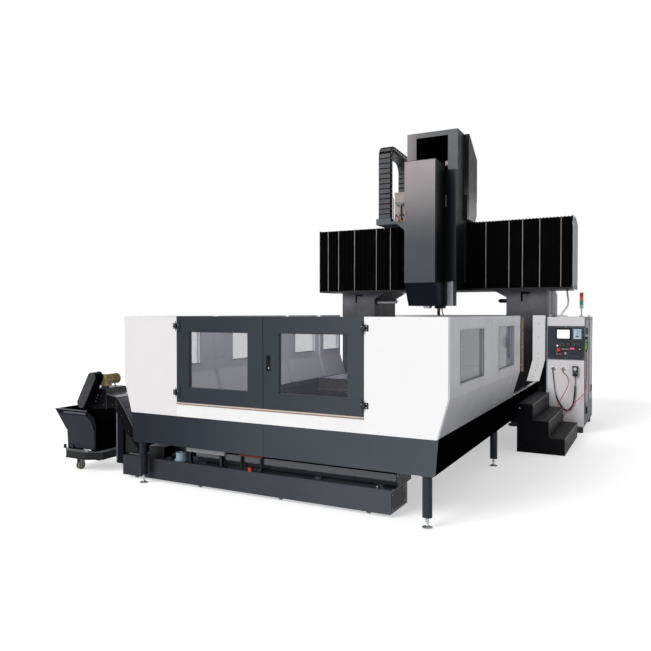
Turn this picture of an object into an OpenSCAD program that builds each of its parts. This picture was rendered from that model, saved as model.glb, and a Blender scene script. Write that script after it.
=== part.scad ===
// Gantry machining center: a moving table on a long bed, two columns, a fixed crossbeam
// with a sliding saddle, and a vertical ram with the spindle, inside an open-topped guard.
// Millimetres. Origin on the floor under the spindle's line, X to the right, Y to the rear.

/* [Guard] */
// Distance from the spindle's line forward to the guard's front face
guard_front = 4650; // [4400:10:4900]
// Top of the guard
guard_top = 1850; // [1750:10:2000]
// Height at which the guard's sides bend inward
wall_bend = 1140; // [1040:10:1200]
// Bottom edge of the white panels
panel_bottom = 790; // [760:5:840]
// Bottom edge of the dark skirt
skirt_bottom = 468; // [440:2:500]
// Half width of the guard above the bend
half_top = 1844; // [1800:2:1900]
// Half width at the bottom of the white panels
half_panel = 1745; // [1720:1:1790]
// Half width at the bottom of the skirt
half_skirt = 1720; // [1700:1:1740]
// Thickness of the side walls
wall_t = 50; // [30:1:60]
// Depth of the front panels
front_t = 60; // [50:1:80]
// Length of the right wall, up to the operator's entry
right_wall_len = 3227; // [3100:1:3400]
// Length of the left wall, up to the column
left_wall_len = 5365; // [5340:1:5440]
// Height of the side windows' sills
window_sill = 1240; // [1200:5:1300]
// Height of the side windows' heads
window_head = 1730; // [1600:5:1745]
// Thickness of the window panes
glass_t = 8; // [4:1:12]
// Length of the guard's rear part
rear_guard_len = 1500; // [1400:10:1600]

/* [Doors] */
// Middle line of the front doorway
door_centre = -20; // [-60:1:60]
// Half width of the front doorway
door_half = 1085; // [1040:1:1120]
// Top of the bright sill under the doors
sill_top = 940; // [920:1:980]
// Height of the bright sill
sill_h = 35; // [20:1:50]
// Thickness of each door
door_t = 45; // [35:1:55]
// Running gap round each door
door_gap = 6; // [5:0.5:10]
// Width of each door's window
door_window_w = 735; // [600:5:780]
// Bottom of the door windows
door_window_z0 = 1100; // [1060:5:1200]
// Top of the door windows
door_window_z1 = 1690; // [1500:5:1740]
// Radius of the hinge pins
hinge_pin_r = 6; // [4:0.5:8]
// Height of one hinge
hinge_h = 110; // [90:2:140]

/* [Bed and table] */
// Length of the bed
bed_len = 6700; // [6500:20:6900]
// Half width of the bed at its foot
bed_half = 900; // [860:5:940]
// Top of the bed's guideway seats
bed_top = 700; // [680:2:710]
// Height of the levelling pads
pad_h = 80; // [60:1:100]
// Width of a guide rail
rail_w = 55; // [45:1:65]
// Height of a guide rail
rail_h = 48; // [40:1:56]
// Distance from the middle to each table rail
rail_x = 630; // [600:5:660]
// Length of the table
table_len = 3000; // [2800:20:3100]
// Half width of the table
table_half = 960; // [900:5:1000]
// Top of the table
table_top = 943; // [920:1:960]
// Thickness of the table
table_t = 175; // [150:1:180]
// Y of the table's front edge at rest
table_front = -1700; // [-1800:10:-1600]
// Width of a T-slot's neck
slot_w = 22; // [18:1:28]
// Distance between T-slots
slot_pitch = 200; // [160:5:220]
// Number of T-slots
slot_count = 9; // [5:2:9]

/* [Columns and beam] */
// Y of the columns' front faces
column_front = 900; // [880:5:920]
// Depth of each column
column_depth = 1050; // [1000:10:1100]
// Distance from the middle to a column's inner face
column_in = 1188; // [1150:2:1220]
// Distance from the middle to a column's outer face
column_out = 1835; // [1800:1:1840]
// Top of the columns, where the crossbeam rests
column_top = 2268; // [2220:2:2300]
// Half length of the crossbeam
beam_half = 2150; // [2100:5:2200]
// Top of the crossbeam
beam_top = 3330; // [3290:5:3350]
// Y of the crossbeam's front face
beam_front = 870; // [860:1:880]
// Depth of the crossbeam
beam_depth = 980; // [940:5:1020]

/* [Bellows] */
// How far the pleated covers reach past the beam's ends
cover_overhang = 79; // [60:1:110]
// Y of the bellows' front crests
bellows_front = 750; // [745:1:760]
// Top of the bellows
bellows_top = 3415; // [3380:1:3420]
// Depth of the bellows' top return
bellows_return = 400; // [300:10:440]
// Depth of one fold
fold_d = 32; // [20:1:40]
// Distance between two crests
fold_pitch = 74; // [60:2:110]

/* [Head] */
// X of the saddle's, ram's and spindle's middle line at rest
head_x = 125; // [80:1:170]
// Half width of the tall head cover
cover_half = 427; // [400:1:440]
// Top of the tall head cover
cover_top = 4849; // [4800:1:4900]
// Bottom of the tall head cover
cover_bottom = 2385; // [2350:5:2420]
// Y of the tall cover's front edges
cover_front = 200; // [190:1:215]
// Half width of the opening in which the ram slides
channel_half = 267; // [260:1:275]
// Half width of the ram's front cover
ram_half = 249; // [240:1:252]
// Y of the ram cover's front face
ram_front = -410; // [-430:5:-380]
// Top of the ram's front cover
ram_top = 4260; // [4200:5:4300]
// Bottom of the ram's tapered shoe
shoe_bottom = 2007; // [1980:1:2040]
// Bottom of the spindle nose
nose_bottom = 1960; // [1940:1:1970]
// Outer radius of the spindle nose
nose_r = 64.3; // [60:0.1:66]
// Large end radius of the spindle's taper
taper_r = 34.9; // [30:0.1:40]

/* [Drag chain] */
// Width of the drag chain
chain_w = 215; // [180:1:230]
// Height of a link
chain_h = 120; // [100:1:130]
// Length of a link
chain_pitch = 84.3; // [80:0.1:90]
// Number of links round the bend
bend_links = 18; // [16:1:20]
// X of the drag chain's middle line
chain_x = -710; // [-720:1:-700]
// Height of the centre of the chain's bend
chain_bend_z = 4330; // [4300:1:4360]

/* [Chip handling] */
// Left end of the coolant tank
tank_x0 = -2022; // [-2060:2:-1990]
// Right end of the coolant tank
tank_x1 = 1266; // [1200:2:1300]
// Top of the coolant tank
tank_top = 257; // [240:1:265]
// Clearance of the tank above the floor
tank_bottom = 35; // [30:1:45]
// Depth of the coolant tank
tank_depth = 445; // [420:1:470]
// Thickness of the chip cart's sheet
cart_t = 6; // [3:0.5:8]
// Top of the chip cart
cart_top = 712; // [690:1:740]

/* [Stairs] */
// Number of steps
step_count = 3; // [3:1:3]
// Height of the top step
stairs_h = 655; // [640:1:660]
// Depth of the whole flight
stairs_run = 617; // [600:1:630]
// Width of the stairs
stairs_w = 1501; // [1300:5:1520]

/* [Control] */
// Gap between the guard and the control cabinet
cabinet_gap = 6; // [4:1:14]
// Width of the control cabinet
cabinet_w = 565; // [540:1:590]
// Y of the cabinet's front face
cabinet_front = 765; // [760:1:780]
// Length of the cabinet
cabinet_len = 1391; // [1300:10:1450]
// Bottom of the cabinet
cabinet_bottom = 100; // [80:1:120]
// Top of the cabinet
cabinet_top = 1824; // [1800:1:1840]
// Thickness of the cabinet's walls
cabinet_t = 25; // [15:1:30]

/* [Hidden] */
$fn = 48;
eps = 0.3;

front_y = -guard_front;
bed_y0 = -bed_len / 2;
bed_y1 = bed_len / 2;
wall_y0 = front_y + front_t;
right_end = front_y + right_wall_len;
left_end = front_y + left_wall_len;
rear_y0 = column_front + column_depth + 50;
rear_y1 = rear_y0 + rear_guard_len;
door_x0 = door_centre - door_half;
door_x1 = door_centre + door_half;
table_bottom = table_top - table_t;
cover_x0 = head_x - cover_half;
cover_x1 = head_x + cover_half;
channel_x0 = head_x - channel_half;
channel_x1 = head_x + channel_half;
bellows_half = beam_half + cover_overhang;
cabinet_x0 = half_top + cabinet_gap;
cabinet_x1 = cabinet_x0 + cabinet_w;
saddle_x0 = -480;
saddle_x1 = cover_x1;
saddle_y0 = 612;
saddle_y1 = bellows_front - 10;
saddle_top = 3440;
saddle_bottom = 2400;
hump_bottom = saddle_top + 410;
hump_y1 = 1150;
bellows_frame_x = -702;
conveyor_y = [front_y + 225, front_y + 565];
shoulder_y0 = column_front + 50;
shoulder_y1 = column_front + column_depth - 50;
rail_front = beam_front - rail_h;
chain_y = 738;
chain_bend_r = chain_pitch / 2 / tan(90 / bend_links);
chain_front_links = 10;
chain_back_links = 3;
chain_front_end = chain_bend_z - chain_front_links * chain_pitch;
chain_back_end = chain_bend_z - chain_back_links * chain_pitch;

module along_y(y0, y1) {
    translate([0, y1, 0]) rotate([90, 0, 0]) linear_extrude(y1 - y0) children();
}
module along_x(x0, x1) {
    translate([x0, 0, 0]) rotate([90, 0, 90]) linear_extrude(x1 - x0) children();
}
module along_z(z0, z1) {
    translate([0, 0, z0]) linear_extrude(z1 - z0) children();
}
module block(x, y, z) {
    translate([x[0], y[0], z[0]]) cube([x[1] - x[0], y[1] - y[0], z[1] - z[0]]);
}
module rod_x(x0, x1, y, z, r) {
    translate([x0, y, z]) rotate([0, 90, 0]) cylinder(h = x1 - x0, r = r);
}
module rod_y(y0, y1, x, z, r) {
    translate([x, y1, z]) rotate([90, 0, 0]) cylinder(h = y1 - y0, r = r);
}
module rod_z(z0, z1, x, y, r) {
    translate([x, y, z0]) cylinder(h = z1 - z0, r = r);
}
module rect(x, y) {
    translate([x[0], y[0]]) square([x[1] - x[0], y[1] - y[0]]);
}
module both_sides() {
    children();
    mirror([1, 0, 0]) children();
}

function unit(v) = v / norm(v);
function tangent(p, i) = unit(p[min(i + 1, len(p) - 1)] - p[max(i - 1, 0)]);
function across(n, t) = unit(n - (n * t) * t);
function normals(p, n, i = 0) = i == len(p) ? []
    : let (m = across(n, tangent(p, i))) concat([m], normals(p, m, i + 1));

// A round tube of a cord, swept along the points p, with one radius or one for each point
module cord_tube(p, radius, sides, first_normal) {
    n = normals(p, first_normal);
    ring = [for (i = [0 : len(p) - 1]) for (k = [0 : sides - 1])
        let (t = tangent(p, i), a = 360 * k / sides, r = is_list(radius) ? radius[i] : radius)
        p[i] + r * (cos(a) * n[i] + sin(a) * cross(t, n[i]))];
    last = (len(p) - 1) * sides;
    skin = [for (i = [0 : len(p) - 2]) for (k = [0 : sides - 1])
        let (a = i * sides + k, b = i * sides + (k + 1) % sides)
        [a, a + sides, b + sides, b]];
    start = [for (k = [0 : sides - 1]) k];
    end = [for (k = [sides - 1 : -1 : 0]) last + k];
    polyhedron(points = ring, faces = concat(skin, [start], [end]));
}

// Bed, its pads and guideways

module bed_outline() {
    foot_top = 260;
    seat_half = 790;
    seat_in = 470;
    valley = bed_top - 100;
    polygon([[-bed_half, pad_h], [bed_half, pad_h], [bed_half, foot_top],
        [seat_half, bed_top - 60], [seat_half, bed_top], [seat_in, bed_top],
        [seat_in, valley], [-seat_in, valley], [-seat_in, bed_top],
        [-seat_half, bed_top], [-seat_half, bed_top - 60], [-bed_half, foot_top]]);
}
module bed() {
    pocket_w = 520;
    pocket_pitch = 780;
    pocket_count = 5;
    color("dimgray") difference() {
        union() {
            along_y(bed_y0, bed_y1) bed_outline();
            both_sides() block([bed_half - 110, column_in], [shoulder_y0, shoulder_y1],
                [pad_h, bed_top]);
        }
        for (i = [0 : pocket_count - 1]) both_sides()
            block([bed_half - 60, bed_half + 1],
                [bed_y0 + 150 + i * pocket_pitch, bed_y0 + 150 + i * pocket_pitch + pocket_w],
                [pad_h + 40, 240]);
        block([-300, 300], [bed_y0 - 1, bed_y0 + 90], [pad_h + 60, 420]);
    }
}
module pad(x, y, r) {
    rod_z(0, 30, x, y, r);
    rod_z(30, pad_h, x, y, r * 0.55);
}
module bed_pads() {
    color("gray") {
        pad(0, 0, 90);
        for (i = [0 : 7]) both_sides() pad(bed_half - 150, bed_y0 + 300 + i * 870, 80);
        both_sides() for (x = [column_in + 110, column_out - 110])
            for (y = [column_front + 120, column_front + column_depth - 120]) pad(x, y, 90);
    }
}
module bed_rails() {
    color("silver") both_sides()
        along_y(bed_y0 + 50, bed_y1 - 50) translate([rail_x, bed_top])
            polygon([[-rail_w / 2, 0], [rail_w / 2, 0], [rail_w / 2, 14], [rail_w / 2 - 7, 22],
                [rail_w / 2, 32], [rail_w / 2, rail_h], [-rail_w / 2, rail_h],
                [-rail_w / 2, 32], [7 - rail_w / 2, 22], [-rail_w / 2, 14]]);
}
screw_r = 31.5;
screw_z = bed_top - 35;
module table_screw() {
    color("silver") rod_y(bed_y0 + 60, bed_y1 - 60, 0, screw_z, screw_r);
    color("dimgray") for (y = [bed_y0 + 60, bed_y1 - 180]) difference() {
        block([-110, 110], [y, y + 120], [bed_top - 100, screw_z + 70]);
        rod_y(y - 1, y + 121, 0, screw_z, screw_r);
    }
}

// Table, with T-slots along its length

module t_slots() {
    for (i = [0 : slot_count - 1]) translate([(i - (slot_count - 1) / 2) * slot_pitch, table_top]) {
        rect([-slot_w / 2, slot_w / 2], [-25, 1]);
        rect([-slot_w * 0.82, slot_w * 0.82], [-40, -24]);
    }
}
module table() {
    gutter_w = 38;
    color([0.36, 0.33, 0.31]) difference() {
        along_y(table_front, table_front + table_len) difference() {
            polygon([[-table_half, table_bottom + 60], [-table_half + 70, table_bottom],
                [table_half - 70, table_bottom], [table_half, table_bottom + 60],
                [table_half, table_top], [-table_half, table_top]]);
            t_slots();
            both_sides() rect([table_half - gutter_w - 20, table_half - 20],
                [table_top - 24, table_top + 1]);
        }
        for (y = [table_front + 300 : 600 : table_front + table_len - 300]) both_sides()
            rod_x(table_half - 60, table_half + 1, y, table_bottom + 105, 26);
    }
}
module table_carriages() {
    block_w = 140;
    slide_top = bed_top + rail_h + eps;
    color("gray") for (y = [120, 880, 1860, 2620]) both_sides() difference() {
        block([rail_x - block_w / 2, rail_x + block_w / 2],
            [table_front + y, table_front + y + 260], [bed_top + 10, table_bottom]);
        block([rail_x - rail_w / 2 - eps, rail_x + rail_w / 2 + eps],
            [table_front + y - 1, table_front + y + 261], [bed_top, slide_top]);
    }
    color("dimgray") difference() {
        block([-75, 75], [table_front + 1350, table_front + 1600],
            [bed_top - 90, table_bottom]);
        rod_y(table_front + 1349, table_front + 1601, 0, screw_z, screw_r + 0.3);
    }
}

// Columns and crossbeam

module column() {
    haunch_h = 122;
    haunch_w = 216;
    recess = [152, 157];
    color([0.24, 0.25, 0.27]) difference() {
        along_y(column_front, column_front + column_depth)
            polygon([[column_in, pad_h], [column_out, pad_h], [column_out, column_top],
                [column_in - haunch_w, column_top], [column_in, column_top - haunch_h]]);
        block([1495 - recess[0] / 2, 1495 + recess[0] / 2],
            [column_front - 1, column_front + 60],
            [2154 - recess[1] / 2, 2154 + recess[1] / 2]);
        for (z = [300, 900, 1500]) block([column_in + 130, column_out - 130],
            [column_front + column_depth - 90, column_front + column_depth + 1], [z, z + 450]);
    }
}
module column_right() {
    duct_back = shoulder_y1 + 540;
    column();
    color([0.4, 0.42, 0.44]) block([column_out - 270, column_out - 47],
        [column_front + column_depth, duct_back], [wall_bend + 18, column_top - 30]);
}
module column_left() {
    mirror([1, 0, 0]) column();
}
module crossbeam() {
    y1 = beam_front + beam_depth;
    pocket_w = 520;
    color([0.2, 0.21, 0.23]) difference() {
        along_x(-beam_half, beam_half)
            polygon([[beam_front, column_top], [y1 - 120, column_top], [y1, column_top + 140],
                [y1, beam_top - 100], [y1 - 90, beam_top], [beam_front, beam_top]]);
        for (i = [-3 : 3]) block([i * 600 - pocket_w / 2, i * 600 + pocket_w / 2],
            [y1 - 110, y1 + 1], [column_top + 250, beam_top - 220]);
        for (side = [-1, 1]) block([side * beam_half - 60, side * beam_half + 60],
            [beam_front + 200, y1 - 220], [column_top + 220, beam_top - 220]);
    }
    color([0.2, 0.21, 0.23]) rod_z(2250, column_top, conduit_top_x, conduit_y, 24);
}
beam_rail_z = [2560, 3180];
module beam_rails() {
    color("silver") for (z = beam_rail_z)
        along_x(-beam_half + 30, beam_half - 30) translate([rail_front, z])
            polygon([[0, -rail_w / 2], [16, -rail_w / 2], [26, 7 - rail_w / 2], [34, -rail_w / 2],
                [rail_h, -rail_w / 2], [rail_h, rail_w / 2], [34, rail_w / 2],
                [26, rail_w / 2 - 7], [16, rail_w / 2], [0, rail_w / 2]]);
}
module beam_end_covers() {
    plate_t = 10;
    color([0.33, 0.36, 0.38]) both_sides() {
        along_x(bellows_half + eps, bellows_half + eps + plate_t)
            polygon([[bellows_front - 8, column_top], [beam_front + 560, column_top],
                [beam_front + 560, beam_top], [bellows_front + bellows_return, bellows_top + 6],
                [bellows_front - 8, bellows_top + 6]]);
        along_x(beam_half, bellows_half + eps)
            polygon([[beam_front + 20, column_top + 60], [beam_front + 160, column_top + 60],
                [beam_front + 160, beam_top - 40], [beam_front + 20, beam_top - 40]]);
    }
    color([0.16, 0.17, 0.18]) block([-bellows_half - eps, bellows_half + eps],
        [bellows_front + 4, beam_front], [column_top, column_top + 26]);
}

// Pleated way covers: one folded sheet over the beam's front and top

function fold_section(d) = [
    [bellows_front + d, column_top + 30], [bellows_front + d, bellows_top - d],
    [bellows_front + bellows_return, bellows_top - d],
    [bellows_front + bellows_return, bellows_top - fold_d - 4],
    [bellows_front + fold_d + 4, bellows_top - fold_d - 4],
    [bellows_front + fold_d + 4, column_top + 30]];
module bellows(x0, x1) {
    folds = round((x1 - x0) / fold_pitch) * 2;
    m = len(fold_section(0));
    pts = [for (i = [0 : folds]) for (q = fold_section(i % 2 == 0 ? 0 : fold_d))
        [x0 + (x1 - x0) * i / folds, q[0], q[1]]];
    skin = [for (i = [0 : folds - 1]) for (k = [0 : m - 1])
        let (a = i * m + k, b = i * m + (k + 1) % m) [a, b, b + m, a + m]];
    start = [for (k = [m - 1 : -1 : 0]) k];
    end = [for (k = [0 : m - 1]) folds * m + k];
    color([0.1, 0.11, 0.12]) polyhedron(points = pts, faces = concat(skin, [start], [end]));
}
module bellows_left() {
    bellows(-bellows_half, bellows_frame_x);
}
module bellows_right() {
    bellows(saddle_x1 + eps, bellows_half);
}

// Guard: front panels, doors, walls and skirts

module wall_outline(t) {
    polygon([[half_panel, panel_bottom], [half_top, wall_bend], [half_top, guard_top],
        [half_top - t, guard_top], [half_top - t, wall_bend], [half_panel - t, panel_bottom]]);
}
module skirt_outline(t) {
    polygon([[half_skirt, skirt_bottom], [half_panel, panel_bottom],
        [half_panel - t, panel_bottom], [half_skirt - t, skirt_bottom]]);
}
module front_panel(inner) {
    color("whitesmoke") along_y(front_y, wall_y0)
        polygon([[inner, panel_bottom], [half_panel, panel_bottom], [half_top, wall_bend],
            [half_top, guard_top], [inner, guard_top]]);
}
module front_panel_right() {
    front_panel(door_x1);
}
module front_panel_left() {
    mirror([1, 0, 0]) front_panel(-door_x0);
}
module front_sill() {
    color("whitesmoke") block([door_x0, door_x1], [front_y, wall_y0],
        [panel_bottom, sill_top - sill_h]);
    color("silver") block([door_x0, door_x1], [front_y - 4, wall_y0 + 20],
        [sill_top - sill_h, sill_top]);
}
module skirts() {
    lip = 14;
    seam = 1.5;
    color([0.27, 0.3, 0.32]) {
        along_y(front_y, wall_y0) {
            polygon([[door_centre + seam, skirt_bottom], [half_skirt, skirt_bottom],
                [half_panel, panel_bottom], [door_centre + seam, panel_bottom]]);
            polygon([[door_centre - seam, skirt_bottom], [-half_skirt, skirt_bottom],
                [-half_panel, panel_bottom], [door_centre - seam, panel_bottom]]);
        }
        both_sides() along_y(wall_y0 + eps, left_end) skirt_outline(wall_t);
        both_sides() along_y(rear_y0, rear_y1 - front_t - eps) skirt_outline(wall_t);
        along_y(rear_y1 - front_t, rear_y1) polygon([[-half_skirt, skirt_bottom],
            [half_skirt, skirt_bottom], [half_panel, panel_bottom],
            [-half_panel, panel_bottom]]);
    }
    color("silver") block([half_panel - wall_t, half_panel - 8],
        [right_end + eps, left_end - eps], [panel_bottom, panel_bottom + lip]);
}
module windows_cut(list) {
    for (w = list) block([half_top - wall_t - 1, half_top + 1],
        [front_y + w[0], front_y + w[1]], [window_sill, window_head]);
}
right_window_list = [[381, 1269], [1966, 2827]];
left_window_list = [[381, 1269], [1966, 2827], [3691, 4392], [4640, 5300]];
module wall(length, list) {
    seam_y = front_y + 1640;
    color("whitesmoke") difference() {
        along_y(wall_y0, front_y + length) wall_outline(wall_t);
        windows_cut(list);
        block([half_top - 300, half_top + 1], [seam_y - 2, seam_y + 2],
            [panel_bottom - 1, guard_top + 1]);
    }
}
module right_wall() {
    wall(right_wall_len, right_window_list);
}
module left_wall() {
    post_d = 60;
    mirror([1, 0, 0]) {
        wall(left_wall_len, left_window_list);
        color("gainsboro") for (y = [1628, 3450, 4516])
            block([half_top - wall_t - post_d, half_top - wall_t],
                [front_y + y - 60, front_y + y + 60], [wall_bend, guard_top]);
    }
}
module wall_strip() {
    strip_w = 190;
    strip_t = 40;
    color("whitesmoke") along_y(left_end, left_end + strip_t)
        polygon([[half_panel - strip_w, panel_bottom], [half_panel, panel_bottom],
            [half_top - 9, wall_bend], [half_top - 9, guard_top],
            [half_top - 9 - strip_w, guard_top], [half_top - 9 - strip_w, wall_bend]]);
}
module pane(y0, y1) {
    block([half_top - 30, half_top - 30 + glass_t], [front_y + y0 + eps, front_y + y1 - eps],
        [window_sill + eps, window_head - eps]);
}
module side_windows() {
    color([0.6, 0.7, 0.75, 0.5]) {
        for (w = right_window_list) pane(w[0], w[1]);
        mirror([1, 0, 0]) for (w = left_window_list) pane(w[0], w[1]);
    }
}
module chip_pan() {
    z = skirt_bottom + 12;
    pan_t = 6;
    pan_half = half_skirt - wall_t;
    slot_x = [front_slot_x0, tank_x1 + 24];
    slot_y = [front_y + 215, front_y + 580];
    lip_bottom = 402;
    color("gray") {
        along_z(z, z + pan_t) {
            rect([-pan_half, pan_half], [wall_y0, slot_y[0] - 4 - eps]);
            rect([-pan_half, slot_x[0]], [slot_y[0] - 4, slot_y[1] + 4]);
            rect([slot_x[1], pan_half], [slot_y[0] - 4, slot_y[1] + 4]);
            rect([-pan_half, pan_half], [slot_y[1] + 4 + eps, bed_y0 - eps]);
            rect([-pan_half, pan_half], [bed_y1 + eps, rear_y1 - front_t - eps]);
        }
        both_sides() along_z(z, z + pan_t) {
            rect([bed_half + eps, pan_half], [bed_y0, left_end - 20]);
            rect([bed_half + eps, pan_half], [rear_y0 + 20, bed_y1]);
        }
        for (y = [slot_y[0] - 4, slot_y[1]]) block([slot_x[0] + eps, slot_x[1] - eps], [y, y + 4],
            [lip_bottom, z + pan_t]);
    }
}
module rear_wall() {
    color("whitesmoke") along_y(rear_y0, rear_y1 - front_t) wall_outline(wall_t);
}
module rear_wall_right() {
    rear_wall();
}
module rear_wall_left() {
    mirror([1, 0, 0]) rear_wall();
}
module rear_panel() {
    color("whitesmoke") along_y(rear_y1 - front_t, rear_y1)
        polygon([[-half_panel, panel_bottom], [half_panel, panel_bottom],
            [half_top, wall_bend], [half_top, guard_top], [-half_top, guard_top],
            [-half_top, wall_bend]]);
}
module guard_leg(y) {
    leg_x = 1641;
    leg_r = 44;
    rod_z(93, skirt_bottom, leg_x, y, leg_r);
    rod_z(14, 94, leg_x, y, 10);
    rod_z(48, 60, leg_x, y, 17);
    translate([leg_x, y, 0]) rotate_extrude()
        polygon([[0, 0], [46, 0], [46, 8], [18, 20], [0, 20]]);
}
module guard_legs() {
    color([0.3, 0.33, 0.36]) both_sides() {
        guard_leg(front_y + 71);
        guard_leg(front_y + 2640);
        guard_leg(left_end - 90);
        guard_leg(rear_y0 + 90);
        guard_leg(rear_y1 - 71);
    }
}
module grab_rail() {
    x = half_top - 14;
    y = right_end + 226;
    r = 15;
    color("gainsboro") {
        rod_z(wall_bend - 30, guard_top - 22, x, y, r);
        for (z = [1201, 1430, 1681]) rod_y(right_end, y, x, z, 11);
    }
}

module hinge_pair() {
    for (z = [1045, 1748]) translate([0, 0, z - hinge_h / 2]) children();
}
hinge_y = front_y - 14;
hinge_barrel_r = 11;
// The panel's half of a hinge on the left door, about the pin at x = 0
module fixed_leaf() {
    third = hinge_h / 3;
    rod_z(0, hinge_h, 0, -14, hinge_pin_r);
    for (z = [0, 2 * third + 0.5]) {
        rod_z(z, z + third - 0.5, 0, -14, hinge_barrel_r);
        block([-50, -5], [-8, 0], [z, z + third - 0.5]);
    }
    block([-50, -14], [-8, 0], [0, hinge_h]);
}
module moving_leaf() {
    third = hinge_h / 3;
    difference() {
        union() {
            rod_z(third, 2 * third, 0, -14, hinge_barrel_r);
            block([5, 50], [-8, 0], [third, 2 * third]);
        }
        rod_z(0, hinge_h, 0, -14, hinge_pin_r + 0.05);
    }
    block([14, 50], [-8, 0], [0, hinge_h]);
}
module door_hinges() {
    color([0.12, 0.12, 0.13]) {
        translate([door_x0, front_y, 0]) hinge_pair() fixed_leaf();
        translate([door_x1, front_y, 0]) mirror([1, 0, 0]) hinge_pair() fixed_leaf();
    }
}
window_side = (door_half - door_window_w) / 2 - 8;
// The left door, from its hinge edge at x = 0 to the doorway's middle
module door_leaf() {
    leaf_w = door_half - door_gap / 2;
    hinge_pair() moving_leaf();
    difference() {
        block([door_gap, leaf_w], [0, door_t], [sill_top + door_gap, guard_top]);
        block([window_side, window_side + door_window_w], [-1, door_t + 1],
            [door_window_z0, door_window_z1]);
    }
}
module door_left() {
    color([0.27, 0.3, 0.32]) translate([door_x0, front_y, 0]) door_leaf();
}
module door_right() {
    pull_w = 36;
    pull_z = [1319, 1468];
    pull_x = door_centre + 45;
    color([0.27, 0.3, 0.32]) difference() {
        translate([door_x1, front_y, 0]) mirror([1, 0, 0]) door_leaf();
        block([pull_x, pull_x + pull_w], [front_y - 1, front_y + 24], pull_z);
    }
    color("silver") difference() {
        block([pull_x, pull_x + pull_w], [front_y - 3, front_y + 24], pull_z);
        block([pull_x + 6, pull_x + pull_w - 6], [front_y - 4, front_y + 18],
            [pull_z[0] + 8, pull_z[1] - 8]);
    }
}
module door_pane() {
    block([window_side + eps, window_side + door_window_w - eps], [14, 14 + glass_t],
        [door_window_z0 + eps, door_window_z1 - eps]);
}
module door_windows_left() {
    color([0.5, 0.6, 0.65, 0.5]) translate([door_x0, front_y, 0]) door_pane();
}
module door_windows_right() {
    color([0.5, 0.6, 0.65, 0.5]) translate([door_x1, front_y, 0]) mirror([1, 0, 0]) door_pane();
}

// Coolant tank and chip conveyor

tank_y0 = front_y + 145;
trough_bottom = tank_top + 18;
front_slot_x0 = tank_x1 - 2266;
module coolant_tank() {
    color([0.23, 0.25, 0.28]) {
        block([tank_x0, tank_x1], [tank_y0, tank_y0 + tank_depth], [tank_bottom, tank_top]);
        for (x = [-1770, -1440, -960, -260, 440, 1100]) block([x, x + 60],
            [tank_y0 + 80, tank_y0 + tank_depth - 40], [tank_top, trough_bottom]);
    }
}
module caster(x, y, r, top) {
    color([0.1, 0.1, 0.1]) rod_x(x - r * 0.45, x + r * 0.45, y, r, r);
    color("gray") {
        rod_x(x - r * 0.8, x + r * 0.8, y, r, r * 0.25);
        for (s = [-1, 1]) block([x + s * r * 0.68 - r * 0.1, x + s * r * 0.68 + r * 0.1],
            [y - r * 0.5, y + r * 0.5], [r * 0.75, top]);
        block([x - r * 0.8, x + r * 0.8], [y - r * 0.7, y + r * 0.7], [top - r * 0.16, top]);
    }
}
module tank_casters() {
    for (x = [tank_x0 + 160, -957, 60, tank_x1 - 240])
        for (y = [tank_y0 + 60, tank_y0 + tank_depth - 60]) {
            color("black") rod_x(x - 12, x + 12, y, 16, 16);
            color("gray") block([x - 18, x - 12], [y - 14, y + 14], [10, tank_bottom]);
            color("gray") block([x + 12, x + 18], [y - 14, y + 14], [10, tank_bottom]);
        }
}
module coolant_pump() {
    y = tank_y0 + 110;
    front = tank_y0 + 34;
    color("lightsteelblue") {
        rod_z(tank_top, tank_top + 12, -1254, y, 78);
        rod_z(tank_top + 12, 340, -1254, y, 62);
    }
    color("dimgray") block([-1700, -1480], [y - 30, y + 110], [tank_top, 380]);
    color("white") block([-1115, -610], [front - 17, front + 17], [385, 425]);
    color("gray") for (x = [-1080, -670])
        block([x, x + 30], [front - 17, front + 17], [tank_top, 385]);
    color("firebrick") rod_x(-420, -140, front, 415, 15);
    color("firebrick") for (x = [-400, -160]) rod_z(tank_top, 415, x, front, 12);
}
module trough_section() {
    t = 8;
    top = 400;
    y = [front_y + 205, front_y + 590];
    polygon([[y[0], 340], [y[0] + 61, trough_bottom], [y[1], trough_bottom], [y[1], top],
        [y[1] - t, top], [y[1] - t, trough_bottom + t], [y[0] + 64, trough_bottom + t],
        [y[0] + t, 344], [y[0] + t, top], [y[0], top]]);
}
module conveyor_trough() {
    t = 8;
    x0 = front_slot_x0 - 8;
    x1 = tank_x1 + 37;
    y = [front_y + 400, front_y + 590];
    color([0.2, 0.22, 0.24]) {
        along_x(x0, x1) trough_section();
        for (x = [x0, x1 - t]) along_x(x, x + t) polygon([[y[0] - 195, 340],
            [y[0] - 134, trough_bottom], [y[1], trough_bottom], [y[1], 400], [y[0] - 195, 400]]);
        block([tank_x0 + 233 + eps, x0], y, [trough_bottom, 400]);
    }
}
module conveyor_incline() {
    foot_x = tank_x0 + 233;
    wall = 20;
    color([0.27, 0.3, 0.32]) difference() {
        along_y(conveyor_y[0], conveyor_y[1])
            polygon([[foot_x, trough_bottom], [foot_x, 400], [-1950, 578], [-2091, 781],
                [-2187, 892], [-2358, 927], [-2386, 985], [-2560, 985], [-2650, 870],
                [-2650, 790], [-2585, 729], [-2409, 751], [-2236, 772], [-2194, 729],
                [-2093, 549], [-1836, trough_bottom]]);
        block([-2575, -2440], [conveyor_y[0] + wall, conveyor_y[1] - wall], [700, 880]);
    }
}
module conveyor_guard() {
    r = 60;
    low = [-2649, 821];
    high = [-2474, 1127];
    d = unit(high - low) * r;
    color([0.29, 0.32, 0.34]) along_y(conveyor_y[0] - 120, conveyor_y[0]) union() {
        translate(low) circle(r);
        translate(high) circle(r);
        polygon([[low[0] - d[1], low[1] + d[0]], [low[0] + d[1], low[1] - d[0]],
            [high[0] + d[1], high[1] - d[0]], [high[0] - d[1], high[1] + d[0]]]);
    }
}
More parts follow.
